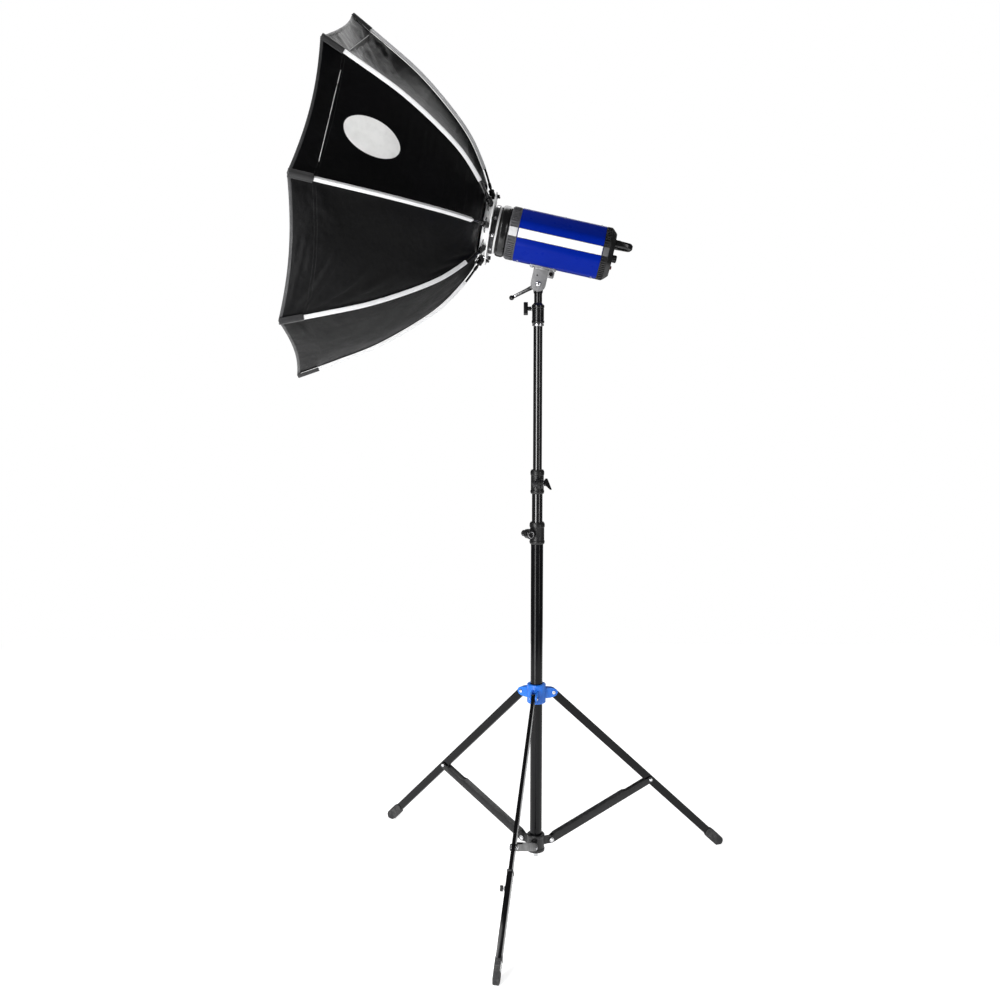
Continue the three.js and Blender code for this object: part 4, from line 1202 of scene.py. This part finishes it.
def catmull(points, steps, tension=0.5):
    """A smooth line through points, in numpy, with open ends."""
    points = np.array(points, float)
    extended = np.vstack([points[0], points, points[-1]])
    result = []
    for index in range(1, len(extended) - 2):
        p0, p1, p2, p3 = extended[index - 1:index + 3]
        for share in np.linspace(0, 1, steps, endpoint=False):
            v0, v1 = (p2 - p0) * tension, (p3 - p1) * tension
            cubic, square = 2 * p1 - 2 * p2 + v0 + v1, -3 * p1 + 3 * p2 - 2 * v0 - v1
            result.append(cubic * share**3 + square * share**2 + v0 * share + p1)
    result.append(points[-1])
    return np.array(result)


def make_handle():
    handle = Piece("handle", "head", "head_black")
    handle.sharp = radians(60)
    half_path = [(-207.4, -40), (-223, -40), (-244, -33), (-250, -20)]
    path = half_path + [(u, -v) for u, v in reversed(half_path)]
    line = catmull([(u, v, 30) for u, v in path], 8, 0.4)
    share = np.linspace(-1, 1, len(line))
    scales = [1 + 0.14 * abs(s) ** 6 for s in share]
    section = [(6 * cos(a), 9 * sin(a)) for a in turns(28)]
    section = [(abs(a / 6) ** 0.8 * math.copysign(6, a), abs(b / 9) ** 0.8 * math.copysign(9, b))
               for a, b in section]
    handle.add(sweep(line, section, scales=scales, normal=(0, 0, 1)), SHINY_PLASTIC)
    for v in (-40, 40):
        screw = lathe([(0, 0), (3, 0), (3, 1.2), (2, 1.8), (0, 1.8)], 24, fillet=0.2)
        handle.add(screw, ZINC, at(-216, v, 38.6))
    for v in np.linspace(-16, 16, 9):
        handle.add(block((-256.4, v - 1, 24), (-255.4, v + 1, 36), 0.3, 1), SHINY_PLASTIC)
    handle.done(HEAD, "handle")


LEVER_DROP = radians(39)
HOLDER_DROP = 15  # from the plate to the umbrella holder's middle


def make_bracket():
    px, pz = TILT_PIVOT.x, TILT_PIVOT.z
    top = -SHELL_HALF - 0.35
    bracket = Piece("tilt_bracket", "head", "mount_metal")
    bracket.add(block((px - 40, -24, top - 4), (px + 34, 24, top), 1.0), GREY_CAST)
    for side in (-1, 1):
        outline = arc(21, pi, 2 * pi, 24, px, pz) + [(px + 21, top - 2), (px - 21, top - 2)]
        outline = rounded(outline, 2.5)
        plate = prism(outline, side * 8.6 - 2, side * 8.6 + 2, 0.8, 3)
        bracket.add(plate, GREY_CAST, UPRIGHT)
        gusset = block((px - 18, side * 10.4, top - 9), (px + 18, side * 14, top - 3), 1.2)
        bracket.add(gusset, GREY_CAST)
    for u in (px - 33, px + 27):
        for v in (-17, 17):
            screw = lathe([(0, -0.2), (3.6, -0.2), (3.6, 1.6), (2.6, 2.4), (0, 2.4)], 24, fillet=0.2)
            bracket.add(screw, ZINC, at(u, v, top - 4) @ turned(pi, "X"))
    holder = [(px - 37, top - 25), (px - 19, top - 25), (px - 19, top - 2), (px - 37, top - 2)]
    outline = rounded(holder, 3)
    bracket.add(prism(outline, -10.6, 8, 0.8, 2), GREY_CAST, ALONG_Y)
    for u in (px - 37.2, px - 18.9):
        rim = hollow(4.6, 6.4, -0.4, 0.4, 32)
        bracket.add(rim, ZINC, at(u, 0, top - HOLDER_DROP) @ ALONG_X)
        # A black disc fills each rim: painted shade in place of the holder's open bore.
        bracket.add(rod(4.6, -0.35, 0.35, 32, 0), PLASTIC,
                    at(u, 0, top - HOLDER_DROP) @ ALONG_X)
    dot = rod(2.4, -0.3, 0.6, 24, 0)
    bracket.add(dot, PLASTIC, at(px + 8, 10.6, pz + 22) @ facing(1))
    bracket.done(HEAD, "tilt_bracket")

    bolt = Piece("tilt_bolt", "head", "bright_steel")
    across = at(px, 0, pz) @ facing(1)
    bolt.add(rod(2.9, -14, 12, 32), CHROME, across)
    cap = [(0, 10.7), (7.5, 10.7), (7.5, 12), (6.9, 13.6), (5.6, 15), (3.4, 16), (0, 16.4)]
    bolt.add(lathe(cap, 48, fillet=0.6), CHROME, across)
    bolt.done(HEAD, "tilt_bolt")

    lever = Piece("tilt_lever", "tilt_lever", "casting_black")
    hub = lathe([(3.4, -4), (9, -4), (9, 3), (8, 4), (3.4, 4)], 48, closed=True, fillet=0.5)
    lever.add(hub, SATIN, ALONG_Y)
    arm = [(0, -7), (36, -5), (78, -4.4), (78, 4.4), (36, 5), (0, 7)]
    lever.add(prism(arm, -2.7, 2.7, 1.0, 3), SATIN, ALONG_Y)
    inlay = block((12, -3.4, -2.2), (73, 3.4, 2.2), 0.6)
    lever.add(inlay, CHROME)
    ball = [(0, -7)] + [(7 * sin(a), -7 * cos(a)) for a in np.linspace(0.15, pi - 0.15, 22)] + [(0, 7)]
    lever.add(lathe(ball, 36), SHINY_PLASTIC, at(82, 0, 0))
    lever.done(HEAD @ at(px, -15.6, pz) @ turned(LEVER_DROP, "Y"), "tilt_lever")

    thumb = Piece("umbrella_screw", "umbrella_screw", "casting_black")
    across = at(px - 28, 0, top - HOLDER_DROP) @ facing(1)
    thumb.add(rod(2.1, 6, 17, 24), CHROME, across)
    thumb.add(prism(fluted(5.7, 0.3, 15), 11.3, 17.1, 0.6, 2), SHINY_PLASTIC, across)
    thumb.done(HEAD, "umbrella_screw")


# ---- softbox ----
RIM_DISTANCE = 600
RIB_COUNT = 8
RIB_LINE = catmull([(4, 492), (102, 437), (204, 376), (296, 304), (368, 234), (419, 160), (446, 108),
                    (454, 91)], 40)
RIB_STEPS = np.r_[0, np.cumsum(np.linalg.norm(np.diff(RIB_LINE, axis=0), axis=1))]
RIB_LENGTH = float(RIB_STEPS[-1])
CLOTH_OFFSET = 6.1  # from a rib's middle to the middle of the cloth, inwards
HUB_DEPTH, HUB_RADIUS = 438, 84
GORE_HALF = pi / RIB_COUNT
SEAM_AT = 65  # along the cloth from the rim
POCKET_LENGTH = 62
SLEEVE_STOP = 70  # the rods leave their sleeves this far from their tips


def rib_at(distance):
    """Depth and radius of the rib's line at a distance from the rim."""
    return np.array([np.interp(distance, RIB_STEPS, RIB_LINE[:, axis]) for axis in (0, 1)])


def rib_along(distance):
    middle = min(max(distance, 1), RIB_LENGTH - 1)
    step = rib_at(middle + 1) - rib_at(middle - 1)
    return step / np.linalg.norm(step)


def off_rib(distance, inwards):
    along = rib_along(distance)
    return rib_at(distance) + np.array([along[1], -along[0]]) * inwards


def in_box(point, angle):
    """A depth and a radius, at an angle round the axis, in the softbox's frame."""
    return Vector((RIM_DISTANCE - point[0], point[1] * sin(angle), point[1] * cos(angle)))


def cloth_profile(rows):
    """The cloth's line under a rib, from the rim to the small end at the ring."""
    line = [off_rib(d, CLOTH_OFFSET) for d in np.linspace(0, 0.965 * RIB_LENGTH, 160)]
    end = np.array((HUB_DEPTH - CLOTH_OFFSET + 5.1, HUB_RADIUS))
    line += [line[-1] * (1 - s) + end * s for s in np.linspace(0.1, 1, 10)]
    line = np.array(line)
    steps = np.r_[0, np.cumsum(np.linalg.norm(np.diff(line, axis=0), axis=1))]
    spots = np.linspace(0, steps[-1], rows)
    return spots, np.stack([np.interp(spots, steps, line[:, axis]) for axis in (0, 1)], 1)


GORE_COLUMNS = 28
CLOTH_ROWS = 96
SETTLE_FRAMES = 26
CLOTH_SLACK = -0.004  # the share that the cloth shrinks by as it settles; below zero it grows


def bell(value, middle, width):
    return np.exp(-(((value - middle) / width) ** 2))


def fold(across, along, start, end, width, high):
    """One long soft fold between two places on a gore, in millimetres across and along it."""
    (x0, y0), (x1, y1) = start, end
    length = math.hypot(x1 - x0, y1 - y0)
    ax, ay = (x1 - x0) / length, (y1 - y0) / length
    run = ((across - x0) * ax + (along - y0) * ay) / length
    off = (across - x0) * -ay + (along - y0) * ax + 0.05 * length * np.sin(2.5 * run + x0)
    shape = bell(off, 0, width) - 0.45 * bell(off, width * 1.9, width * 0.9)
    ends = np.clip(run / 0.18, 0, 1) * np.clip((1 - run) / 0.45, 0, 1)
    return 1.6 * high * shape * np.where((run > 0) & (run < 1), ends, 0)


# The folds of each gore: where they start and end, how wide and how high they are.
FOLDS = {
    0: [((-150, 30), (60, 240), 9, 5.0), ((-165, 18), (110, 120), 8, 4.5),
        ((-120, 60), (-20, 330), 10, 4.5), ((-60, 20), (90, 200), 7, 3.5), ((10, 10), (140, 150), 6, 3.0),
        ((-170, 90), (-60, 200), 7, 3.5), ((60, 40), (20, 260), 8, 3.0), ((120, 90), (-30, 330), 8, 2.6)],
    1: [((-160, 20), (20, 90), 7, 1.6), ((150, 24), (30, 150), 8, 1.4)],
    2: [((165, 20), (-40, 160), 8, 3.6), ((170, 30), (10, 250), 8, 4.0), ((172, 45), (60, 360), 8, 3.6),
        ((160, 12), (-110, 70), 6, 3.0), ((150, 60), (90, 330), 7, 2.6), ((-150, 26), (-60, 190), 7, 1.8)],
    3: [((-165, 22), (30, 80), 6, 1.8), ((160, 20), (-20, 100), 6, 1.8), ((-150, 40), (-60, 260), 8, 1.5)],
    4: [((150, 24), (-30, 200), 8, 2.8), ((-150, 24), (40, 130), 8, 2.4)],
    5: [((-160, 30), (30, 240), 8, 3.0), ((150, 40), (60, 260), 8, 2.2)],
    6: [((165, 22), (0, 180), 8, 3.0), ((-160, 22), (-40, 220), 8, 2.4)],
    7: [((-150, 24), (60, 170), 8, 3.0), ((140, 30), (20, 280), 8, 2.8), ((40, 20), (-90, 200), 7, 2.2)],
}
GORE_SAG = (11, 7, 9, 7, 10, 9, 9, 10)


def cloth_grid():
    """The cloth as rows of points in the softbox's frame, from the rim to the ring, and laid out flat."""
    spots, profile = cloth_profile(CLOTH_ROWS)
    total = spots[-1]
    columns = RIB_COUNT * GORE_COLUMNS
    grid = np.zeros((CLOTH_ROWS, columns, 3))
    plane = np.zeros((CLOTH_ROWS, columns, 2))
    tangent = np.gradient(profile, axis=0)
    tangent /= np.linalg.norm(tangent, axis=1)[:, None]
    for column in range(columns):
        gore, step = divmod(column, GORE_COLUMNS)
        share = 2 * step / GORE_COLUMNS - 1
        local = share * GORE_HALF
        angle = gore * 2 * GORE_HALF + GORE_HALF + local
        radius = profile[:, 1] * cos(GORE_HALF) / cos(local)
        across = profile[:, 1] * cos(GORE_HALF) * math.tan(local)
        open_part = 1 - share * share
        rim_bow = 16 * np.clip(1 - spots / (0.386 * total), 0, 1) * open_part
        sag = GORE_SAG[gore] * np.sin(pi * np.clip(spots / total, 0, 1)) ** 0.7 * open_part
        lift = np.zeros_like(spots)
        for start, end, width, high in FOLDS[gore]:
            lift += fold(across, spots, start, end, width, high)
        pucker = np.array([noise.noise(Vector((column * 0.55, spot * 0.03, gore * 7.0))) for spot in spots])
        lift += 2.4 * pucker * bell(spots, SEAM_AT, 24)
        drift = np.array([noise.noise(Vector((angle * 6, spot * 0.011, 3.0))) for spot in spots])
        fine = np.array([noise.noise(Vector((angle * 22, spot * 0.03, 9.0))) for spot in spots])
        lift += (2.6 * drift + 1.2 * fine) * (0.4 + bell(spots, 0, 160))
        hem = np.array([noise.noise(Vector((column * 0.9, 0, 21.0)))] * len(spots))
        lift += 1.6 * hem * bell(spots, total, 24)
        hold = np.clip(open_part * 3.2, 0, 1)
        lift = lift * hold * np.clip(spots / 14, 0, 1) * np.clip((total - spots) / 10, 0.15, 1)
        lift += 0.12 * bell(spots, SEAM_AT, 6) * hold
        move = lift - sag
        depth = profile[:, 0] + rim_bow - tangent[:, 1] * move
        radius = radius + tangent[:, 0] * move
        grid[:, column, 0] = RIM_DISTANCE - depth
        grid[:, column, 1] = radius * sin(angle)
        grid[:, column, 2] = radius * cos(angle)
        plane[:, column, 0] = across + gore * 0.5 * 1000
        plane[:, column, 1] = spots
    return grid, plane


def grid_normals(grid):
    along = np.gradient(grid, axis=0)
    around = np.roll(grid, -1, axis=1) - np.roll(grid, 1, axis=1)
    normal = np.cross(around, along)
    normal /= np.linalg.norm(normal, axis=2)[:, :, None]
    outward = grid * np.array((0, 1, 1))
    if (normal * outward).sum() < 0:
        normal = -normal
    return normal


class Cloth:
    """The finished cloth, to sew the trim on."""

    def __init__(self, grid):
        self.grid, self.normal = grid, grid_normals(grid)
        self.spots, profile = cloth_profile(CLOTH_ROWS)
        self.widths = profile[:, 1] * cos(GORE_HALF)

    def column_of(self, gore, across, along):
        width = float(np.interp(along, self.spots, self.widths))
        share = math.atan2(across, width) / GORE_HALF
        return (gore + (share + 1) / 2) * GORE_COLUMNS

    def at(self, column, along, lift=0.0):
        """The point at a distance from the rim on a column, raised off the cloth."""
        row = float(np.interp(along, self.spots, np.arange(CLOTH_ROWS)))
        low, left = min(int(row), CLOTH_ROWS - 2), int(math.floor(column))
        down, aside = row - low, column - left
        count = self.grid.shape[1]
        result = np.zeros(3)
        for r, wr in ((low, 1 - down), (low + 1, down)):
            for c, wc in ((left % count, 1 - aside), ((left + 1) % count, aside)):
                result += wr * wc * (self.grid[r, c] + lift * self.normal[r, c])
        return result


def stitch(piece, start, end, normal, material, thick=0.35):
    """One stitch of thread from start to end."""
    start, end, normal = Vector(start), Vector(end), Vector(normal)
    middle = (start + end) / 2 + normal * thick
    piece.add(sweep([start, middle, end], circle(thick, 5)), material)


def make_canopy():
    grid, plane = cloth_grid()
    grid = relaxed(grid)
    rows, columns = grid.shape[:2]
    mesh = bpy.data.meshes.new("canopy")
    points = [BOX @ Vector(point) for point in grid.reshape(-1, 3)]
    mesh.from_pydata([tuple(point) for point in points], [], skin(rows, columns))
    layer = mesh.uv_layers.new(name="uv")
    flat = plane.reshape(-1, 2) * MM
    for polygon in mesh.polygons:
        spots = [flat[index].copy() for index in polygon.vertices]
        for spot in spots:
            if spots[0][0] - spot[0] > 0.12:
                spot[0] = spots[0][0]
        for loop, spot in zip(polygon.loop_indices, spots):
            layer.data[loop].uv = spot
    for material in (CANOPY, SILVER):
        mesh.materials.append(material)
    mesh.polygons.foreach_set("use_smooth", [True] * len(mesh.polygons))
    canopy = new_object("canopy", mesh)
    smooth = canopy.modifiers.new("smooth", "SUBSURF")
    smooth.levels = smooth.render_levels = 1
    thick = canopy.modifiers.new("thick", "SOLIDIFY")
    thick.thickness = 0.0012
    thick.offset = 0
    thick.material_offset = 1
    normal = grid_normals(grid)[rows // 2, GORE_COLUMNS // 2]
    face = mesh.polygons[(rows // 2) * columns + GORE_COLUMNS // 2].normal
    if (BOX.to_3x3() @ Vector(normal)).dot(face) < 0:
        mesh.flip_normals()
    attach(canopy, "softbox")
    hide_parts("canopy")
    return canopy, Cloth(grid)


def relaxed(grid):
    """Lets the cloth settle between its ribs, held along them, round the rim and at the ring."""
    rows, columns = grid.shape[:2]
    mesh = bpy.data.meshes.new("settling")
    mesh.from_pydata([tuple(BOX @ Vector(p)) for p in grid.reshape(-1, 3)], [], skin(rows, columns))
    settling = new_object("settling", mesh)
    held = settling.vertex_groups.new(name="held")
    for index in range(rows * columns):
        row, column = divmod(index, columns)
        if row in (0, rows - 1) or column % GORE_COLUMNS in (0, 1, GORE_COLUMNS - 1):
            held.add([index], 1.0, "REPLACE")
    modifier = settling.modifiers.new("cloth", "CLOTH")
    settings = modifier.settings
    settings.quality = 5
    settings.mass = 0.12
    settings.vertex_group_mass = "held"
    settings.tension_stiffness = 30
    settings.compression_stiffness = 6
    settings.shear_stiffness = 4
    settings.bending_stiffness = 0.12
    settings.shrink_min = CLOTH_SLACK
    modifier.collision_settings.use_collision = False
    modifier.point_cache.frame_start, modifier.point_cache.frame_end = 1, SETTLE_FRAMES
    for step in range(1, SETTLE_FRAMES + 1):
        bpy.context.scene.frame_set(step)
    evaluated = settling.evaluated_get(bpy.context.evaluated_depsgraph_get())
    back = BOX.inverted()
    settled = np.array([tuple(back @ vertex.co) for vertex in evaluated.data.vertices])
    bpy.data.objects.remove(settling)
    bpy.context.scene.frame_set(1)
    return settled.reshape(rows, columns, 3)


PATCH_AT = (1, 0.0, 184.0)  # gore, across it and from the rim
PATCH_SIZE = (96, 168)
PATCH_HEM = (98.2, 170.2)


def make_trim(cloth):
    """What is sewn on the canopy: binding, stitching, hem and a plain patch."""
    total = cloth.spots[-1]
    everywhere = list(range(RIB_COUNT * GORE_COLUMNS))
    binding = Piece("rim_binding", "softbox", "canopy_black")
    binding.sharp = radians(60)
    points = []
    for column in everywhere:
        outer = [cloth.at(column, along, 1.3) for along in (7, 4, 1)]
        inner = [cloth.at(column, along, -1.3) for along in (1, 4, 7)]
        edge = cloth.at(column, 0)
        beyond = edge + (edge - cloth.at(column, 8)) / 8 * 1.2
        points += outer + [beyond] + inner
    binding.add(([tuple(p) for p in points], skin(len(everywhere), 7, True)), BINDING)
    for column in np.arange(0, RIB_COUNT * GORE_COLUMNS, 0.42):
        start, end = cloth.at(column, 5.2, 1.35), cloth.at(column + 0.27, 5.2, 1.35)
        row_normal = cloth.normal[1, int(column) % len(everywhere)]
        stitch(binding, start, end, row_normal, THREAD, 0.28)
    trim = [binding.done(BOX)]

    seams = Piece("canopy_stitching", "softbox", "canopy_black")
    for along in (SEAM_AT - 4, SEAM_AT + 4):
        for column in np.arange(0, RIB_COUNT * GORE_COLUMNS, 0.5):
            step = abs((column / GORE_COLUMNS) % 1 - 0.5)
            if step > 0.475:
                continue
            start, end = cloth.at(column, along, 0.7), cloth.at(column + 0.32, along, 0.7)
            stitch(seams, start, end, cloth.normal[10, int(column)], THREAD, 0.26)
    trim.append(seams.done(BOX))

    hem = Piece("hub_hem", "softbox", "canopy_black")
    ring = [cloth.at(column, total - 1.2) for column in everywhere]
    hem.add(sweep(ring, circle(2.6, 12), closed=True), POCKET)
    trim.append(hem.done(BOX))

    patch = Piece("plain_patch", "softbox", "canopy_black")
    patch.sharp = radians(60)
    patch.add(oval_patch(cloth, PATCH_SIZE, 1.6, 0.55), LABEL)
    patch.add(oval_patch(cloth, PATCH_HEM, 1.5, 0.3), BINDING)
    trim.append(patch.done(BOX))
    return trim


def oval_patch(cloth, size, lift, thick):
    """An oval sewn on a gore, following the cloth."""
    gore, x, y = PATCH_AT
    rings, sides = 7, 48
    points = []
    for level in (lift + thick, lift - 0.2):
        points.append(tuple(cloth.at(cloth.column_of(gore, x, y), y, level)))
        for ring in range(1, rings + 1):
            share = ring / rings
            drop = thick * 0.5 * max(0.0, (share - 0.9) / 0.1) if level > lift else 0
            for side in range(sides):
                angle = 2 * pi * side / sides
                across = x + size[0] / 2 * share * cos(angle)
                along = y + size[1] / 2 * share * sin(angle)
                points.append(tuple(cloth.at(cloth.column_of(gore, across, along), along, level - drop)))
    under = 1 + rings * sides
    faces = disc_faces(rings, sides) + disc_faces(rings, sides, under)
    low, high = under - sides, 2 * under - sides
    for side in range(sides):
        after = (side + 1) % sides
        faces.append((low + side, high + side, high + after, low + after))
    return points, faces


def rib_section(half, inner, outer):
    """A sleeve's section across a rib: flat on the cloth, round over the rod."""
    right = [(half, inner), (half, inner + 0.8), (half * 0.74, inner + 0.34 * (outer - inner)),
             (half * 0.6, (inner + outer) / 2), (half * 0.42, inner + 0.86 * (outer - inner)), (0, outer)]
    return right + [(-x, y) for x, y in reversed(right[:-1])]


def make_ribs():
    for rib in range(RIB_COUNT):
        angle = rib * 2 * GORE_HALF
        piece = Piece(f"rib_{rib + 1}", "softbox", "rod_white")
        piece.sharp = radians(50)

        def line(start, end, count, inwards=0.0):
            return [in_box(off_rib(d, inwards), angle) for d in np.linspace(start, end, count)]

        up = in_box(off_rib(0, -1), angle) - in_box(off_rib(0, 0), angle)
        bare = line(RIB_LENGTH - SLEEVE_STOP - 12, RIB_LENGTH - 0.5, 16)
        piece.add(sweep(bare, circle(3.1, 20), normal=up), SHINY_PLASTIC)
        knuckle = line(RIB_LENGTH - 30, RIB_LENGTH - 17, 4)
        piece.add(sweep(knuckle, circle(4.4, 20), normal=up), SHINY_PLASTIC)
        tip = line(3, 40, 6)
        piece.add(sweep(tip, circle(3.1, 16), normal=up), ZINC)
        sleeve = rib_section(6.2, -5.0, 3.9)
        count = 70
        scales = [1 + 0.035 * noise.noise(Vector((rib * 5.0, step * 0.33, 1.0))) for step in range(count)]
        path = line(POCKET_LENGTH - 6, RIB_LENGTH - SLEEVE_STOP, count)
        piece.add(sweep(path, sleeve, scales=scales, normal=up), SLEEVE_TAPE)
        for end in (RIB_LENGTH - SLEEVE_STOP - 3, RIB_LENGTH - SLEEVE_STOP - 5.5):
            lower = line(end, end + 0.7, 2)
            piece.add(sweep(lower, [(x * 1.05, y * 1.05) for x, y in sleeve], normal=up), SLEEVE_TAPE)
        pocket = rib_section(11, -5.3, 4.9)
        scales = [1.0 + 0.05 * noise.noise(Vector((rib * 3.0, step * 0.8, 4.0))) for step in range(14)]
        scales[0] *= 0.93
        piece.add(sweep(line(-1.5, POCKET_LENGTH, 14), pocket, scales=scales, normal=up), POCKET)
        for spot in (POCKET_LENGTH - 3, POCKET_LENGTH - 9, 6):
            seam = [(x * 1.03, y * 1.04) for x, y in pocket]
            piece.add(sweep(line(spot, spot + 0.8, 2), seam, normal=up), POCKET)
        side_way = (in_box(off_rib(10, 0), angle + 0.01) - in_box(off_rib(10, 0), angle)).normalized()
        for side in (-1, 1):
            for spot in np.arange(POCKET_LENGTH + 4, RIB_LENGTH - SLEEVE_STOP - 6, 5.0):
                ends = line(spot, spot + 3.2, 2, 4.1)
                start, end = [point + side_way * side * 5.2 for point in ends]
                stitch(piece, start, end, up.normalized(), SLEEVE_TAPE, 0.3)
        piece.done(BOX, f"rib_{rib + 1}")


BORE, BODY, FLANGE = 61, 75, 99  # radii of the speed ring
RING_REAR, RING_FRONT = 131.5, 154


def make_ring():
    ring = Piece("speed_ring", "softbox", "ring_white")
    profile = [(BORE, RING_REAR), (FLANGE, RING_REAR), (FLANGE, RING_REAR + 3), (BODY + 3, RING_REAR + 3),
               (BODY, RING_REAR + 6), (BODY, RING_FRONT), (BORE + 6, RING_FRONT), (BORE, RING_FRONT - 5)]
    ring.add(lathe(profile, 128, closed=True, fillet=1.0), WHITE, ALONG_X)
    dark = [(BORE - 0.3, RING_REAR + 1), (BORE + 0.4, RING_REAR + 1), (BORE + 0.4, RING_FRONT - 7),
            (BORE - 0.3, RING_FRONT - 7)]
    ring.add(lathe(dark, 96, closed=True), PLASTIC, ALONG_X)
    tip, along = rib_at(RIB_LENGTH), rib_along(RIB_LENGTH)
    lean = math.atan2(along[0], -along[1])
    for rib in range(RIB_COUNT):
        angle = rib * 2 * GORE_HALF
        place = turned(-angle, "X") @ at(RIM_DISTANCE - tip[0], 0, tip[1]) @ turned(lean, "Y")
        socket = [(0, -14), (6, -14), (8, -11.5), (8, 3), (7.3, 4), (7.3, 6), (8, 7), (8, 10), (6.6, 12),
                  (4, 12), (4, -1), (0, -1)]
        ring.add(lathe(socket, 40, fillet=0.7), SHINY_PLASTIC, place)
        ring.add(rod(2.4, 0, 1.4, 20, 0.2), CHROME,
                 place @ at(7.6, 0, 1) @ turned(pi / 2, "Y"))
        for side in (-1, 1):
            base = turned(-angle, "X")
            wire = [base @ Vector((RING_REAR + 14, side * 20, BODY - 1)),
                    base @ Vector((RING_REAR + 16, side * 13, BODY + 6)),
                    base @ Vector((RIM_DISTANCE - tip[0] - 1, side * 7.4, tip[1] - 4))]
            ring.add(sweep(catmull(wire, 6), circle(1.2, 10)), SHINY_PLASTIC)
        if rib % 2 == 0:
            screw = [(0, -8), (2.4, -8), (2.8, -6), (2.8, -1.4), (4.2, -1.2), (4.2, 0.2), (0, 0.2)]
            for turn in (-0.22, 0.22):
                ring.add(lathe(screw, 24, fillet=0.3), SHINY_PLASTIC,
                         turned(-angle + turn, "X") @ at(RING_REAR, 0, 90) @ ALONG_X)
    ring.done(BOX, "speed_ring")

    angle = radians(157.5)
    place = at(RING_REAR - 0.35, 88 * sin(angle), 88 * cos(angle))
    lock = Piece("ring_lock_screw", "ring_lock", "casting_black")
    lock.add(rod(2.1, -8, 8, 24), CHROME, place @ ALONG_X)
    lock.add(prism(fluted(5.25, 0.25, 12), -12, -3, 0.8, 2), SHINY_PLASTIC, place @ ALONG_X)
    lock.done(BOX, "ring_lock_screw")


DIFFUSER_U = RIM_DISTANCE - 59  # along the axis
DIFFUSER_RADIUS = 451


def make_diffuser():
    rings, per_side = 44, 22
    sides = RIB_COUNT * per_side
    points = [(DIFFUSER_U + 1.5, 0, 0)]
    for ring in range(1, rings + 1):
        share = ring / rings
        for side in range(sides):
            part, step = divmod(side, per_side)
            local = (2 * step / per_side - 1) * GORE_HALF
            angle = part * 2 * GORE_HALF + GORE_HALF + local
            radius = DIFFUSER_RADIUS * share * cos(GORE_HALF) / cos(local)
            v, w = radius * sin(angle), radius * cos(angle)
            billow = 3.0 * (1 - share**2)
            edge = bell(share, 1, 0.16) * 2.2 * noise.noise(Vector((angle * 9, share * 3, 2)))
            wave = 1.3 * noise.noise(Vector((v * 0.006, w * 0.006, 5)))
            bulge = billow + edge * min(1, (1 - share) * 20) + wave * (1 - share)
            points.append((DIFFUSER_U + bulge, v, w))
    faces = disc_faces(rings, sides)
    mesh = bpy.data.meshes.new("front_diffuser")
    mesh.from_pydata([tuple(BOX @ Vector(point)) for point in points], [], faces)
    layer = mesh.uv_layers.new(name="uv")
    for loop in mesh.loops:
        layer.data[loop.index].uv = [value * MM for value in points[loop.vertex_index][1:]]
    mesh.materials.append(DIFFUSER)
    mesh.polygons.foreach_set("use_smooth", [True] * len(mesh.polygons))
    diffuser = new_object("front_diffuser", mesh)
    thick = diffuser.modifiers.new("thick", "SOLIDIFY")
    thick.thickness = 0.0008
    thick.offset = 0
    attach(diffuser, "softbox")
    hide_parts("front_diffuser")

    hem = Piece("diffuser_hem", "softbox", "canopy_black")
    hem.sharp = radians(50)
    for rib in range(RIB_COUNT):
        a, b = rib * 2 * GORE_HALF, (rib + 1) * 2 * GORE_HALF
        outer, inner = DIFFUSER_RADIUS - 0.5, DIFFUSER_RADIUS - 15
        corners = ((outer, a), (outer, b), (inner, b), (inner, a))
        outline = [(radius * sin(angle), radius * cos(angle)) for radius, angle in corners]
        hem.add(prism(outline, DIFFUSER_U - 1.4, DIFFUSER_U + 1.4), BINDING, ALONG_X)
    hem.done(BOX)
    return diffuser, bpy.data.objects["diffuser_hem"]



# ---- the whole kit ----
make_camera()
make_stage()
make_column()
make_clamp("lower", "column_base", 986, 1049, 21.5, 17.85, 15.35, winged=False)
make_clamp("upper", "middle_section", 1130, 1198, 19.5, 15.35, 12.85, winged=True)
make_base()
make_spider()
for leg_name in LEG_NAMES:
    make_leg(leg_name)
    make_brace(leg_name)
make_levelling()
make_adapter()
make_shell()
make_mount()
make_rear()
make_handle()
make_bracket()
canopy, cloth = make_canopy()
trim = make_trim(cloth)
make_ribs()
make_ring()
diffuser, diffuser_hem = make_diffuser()
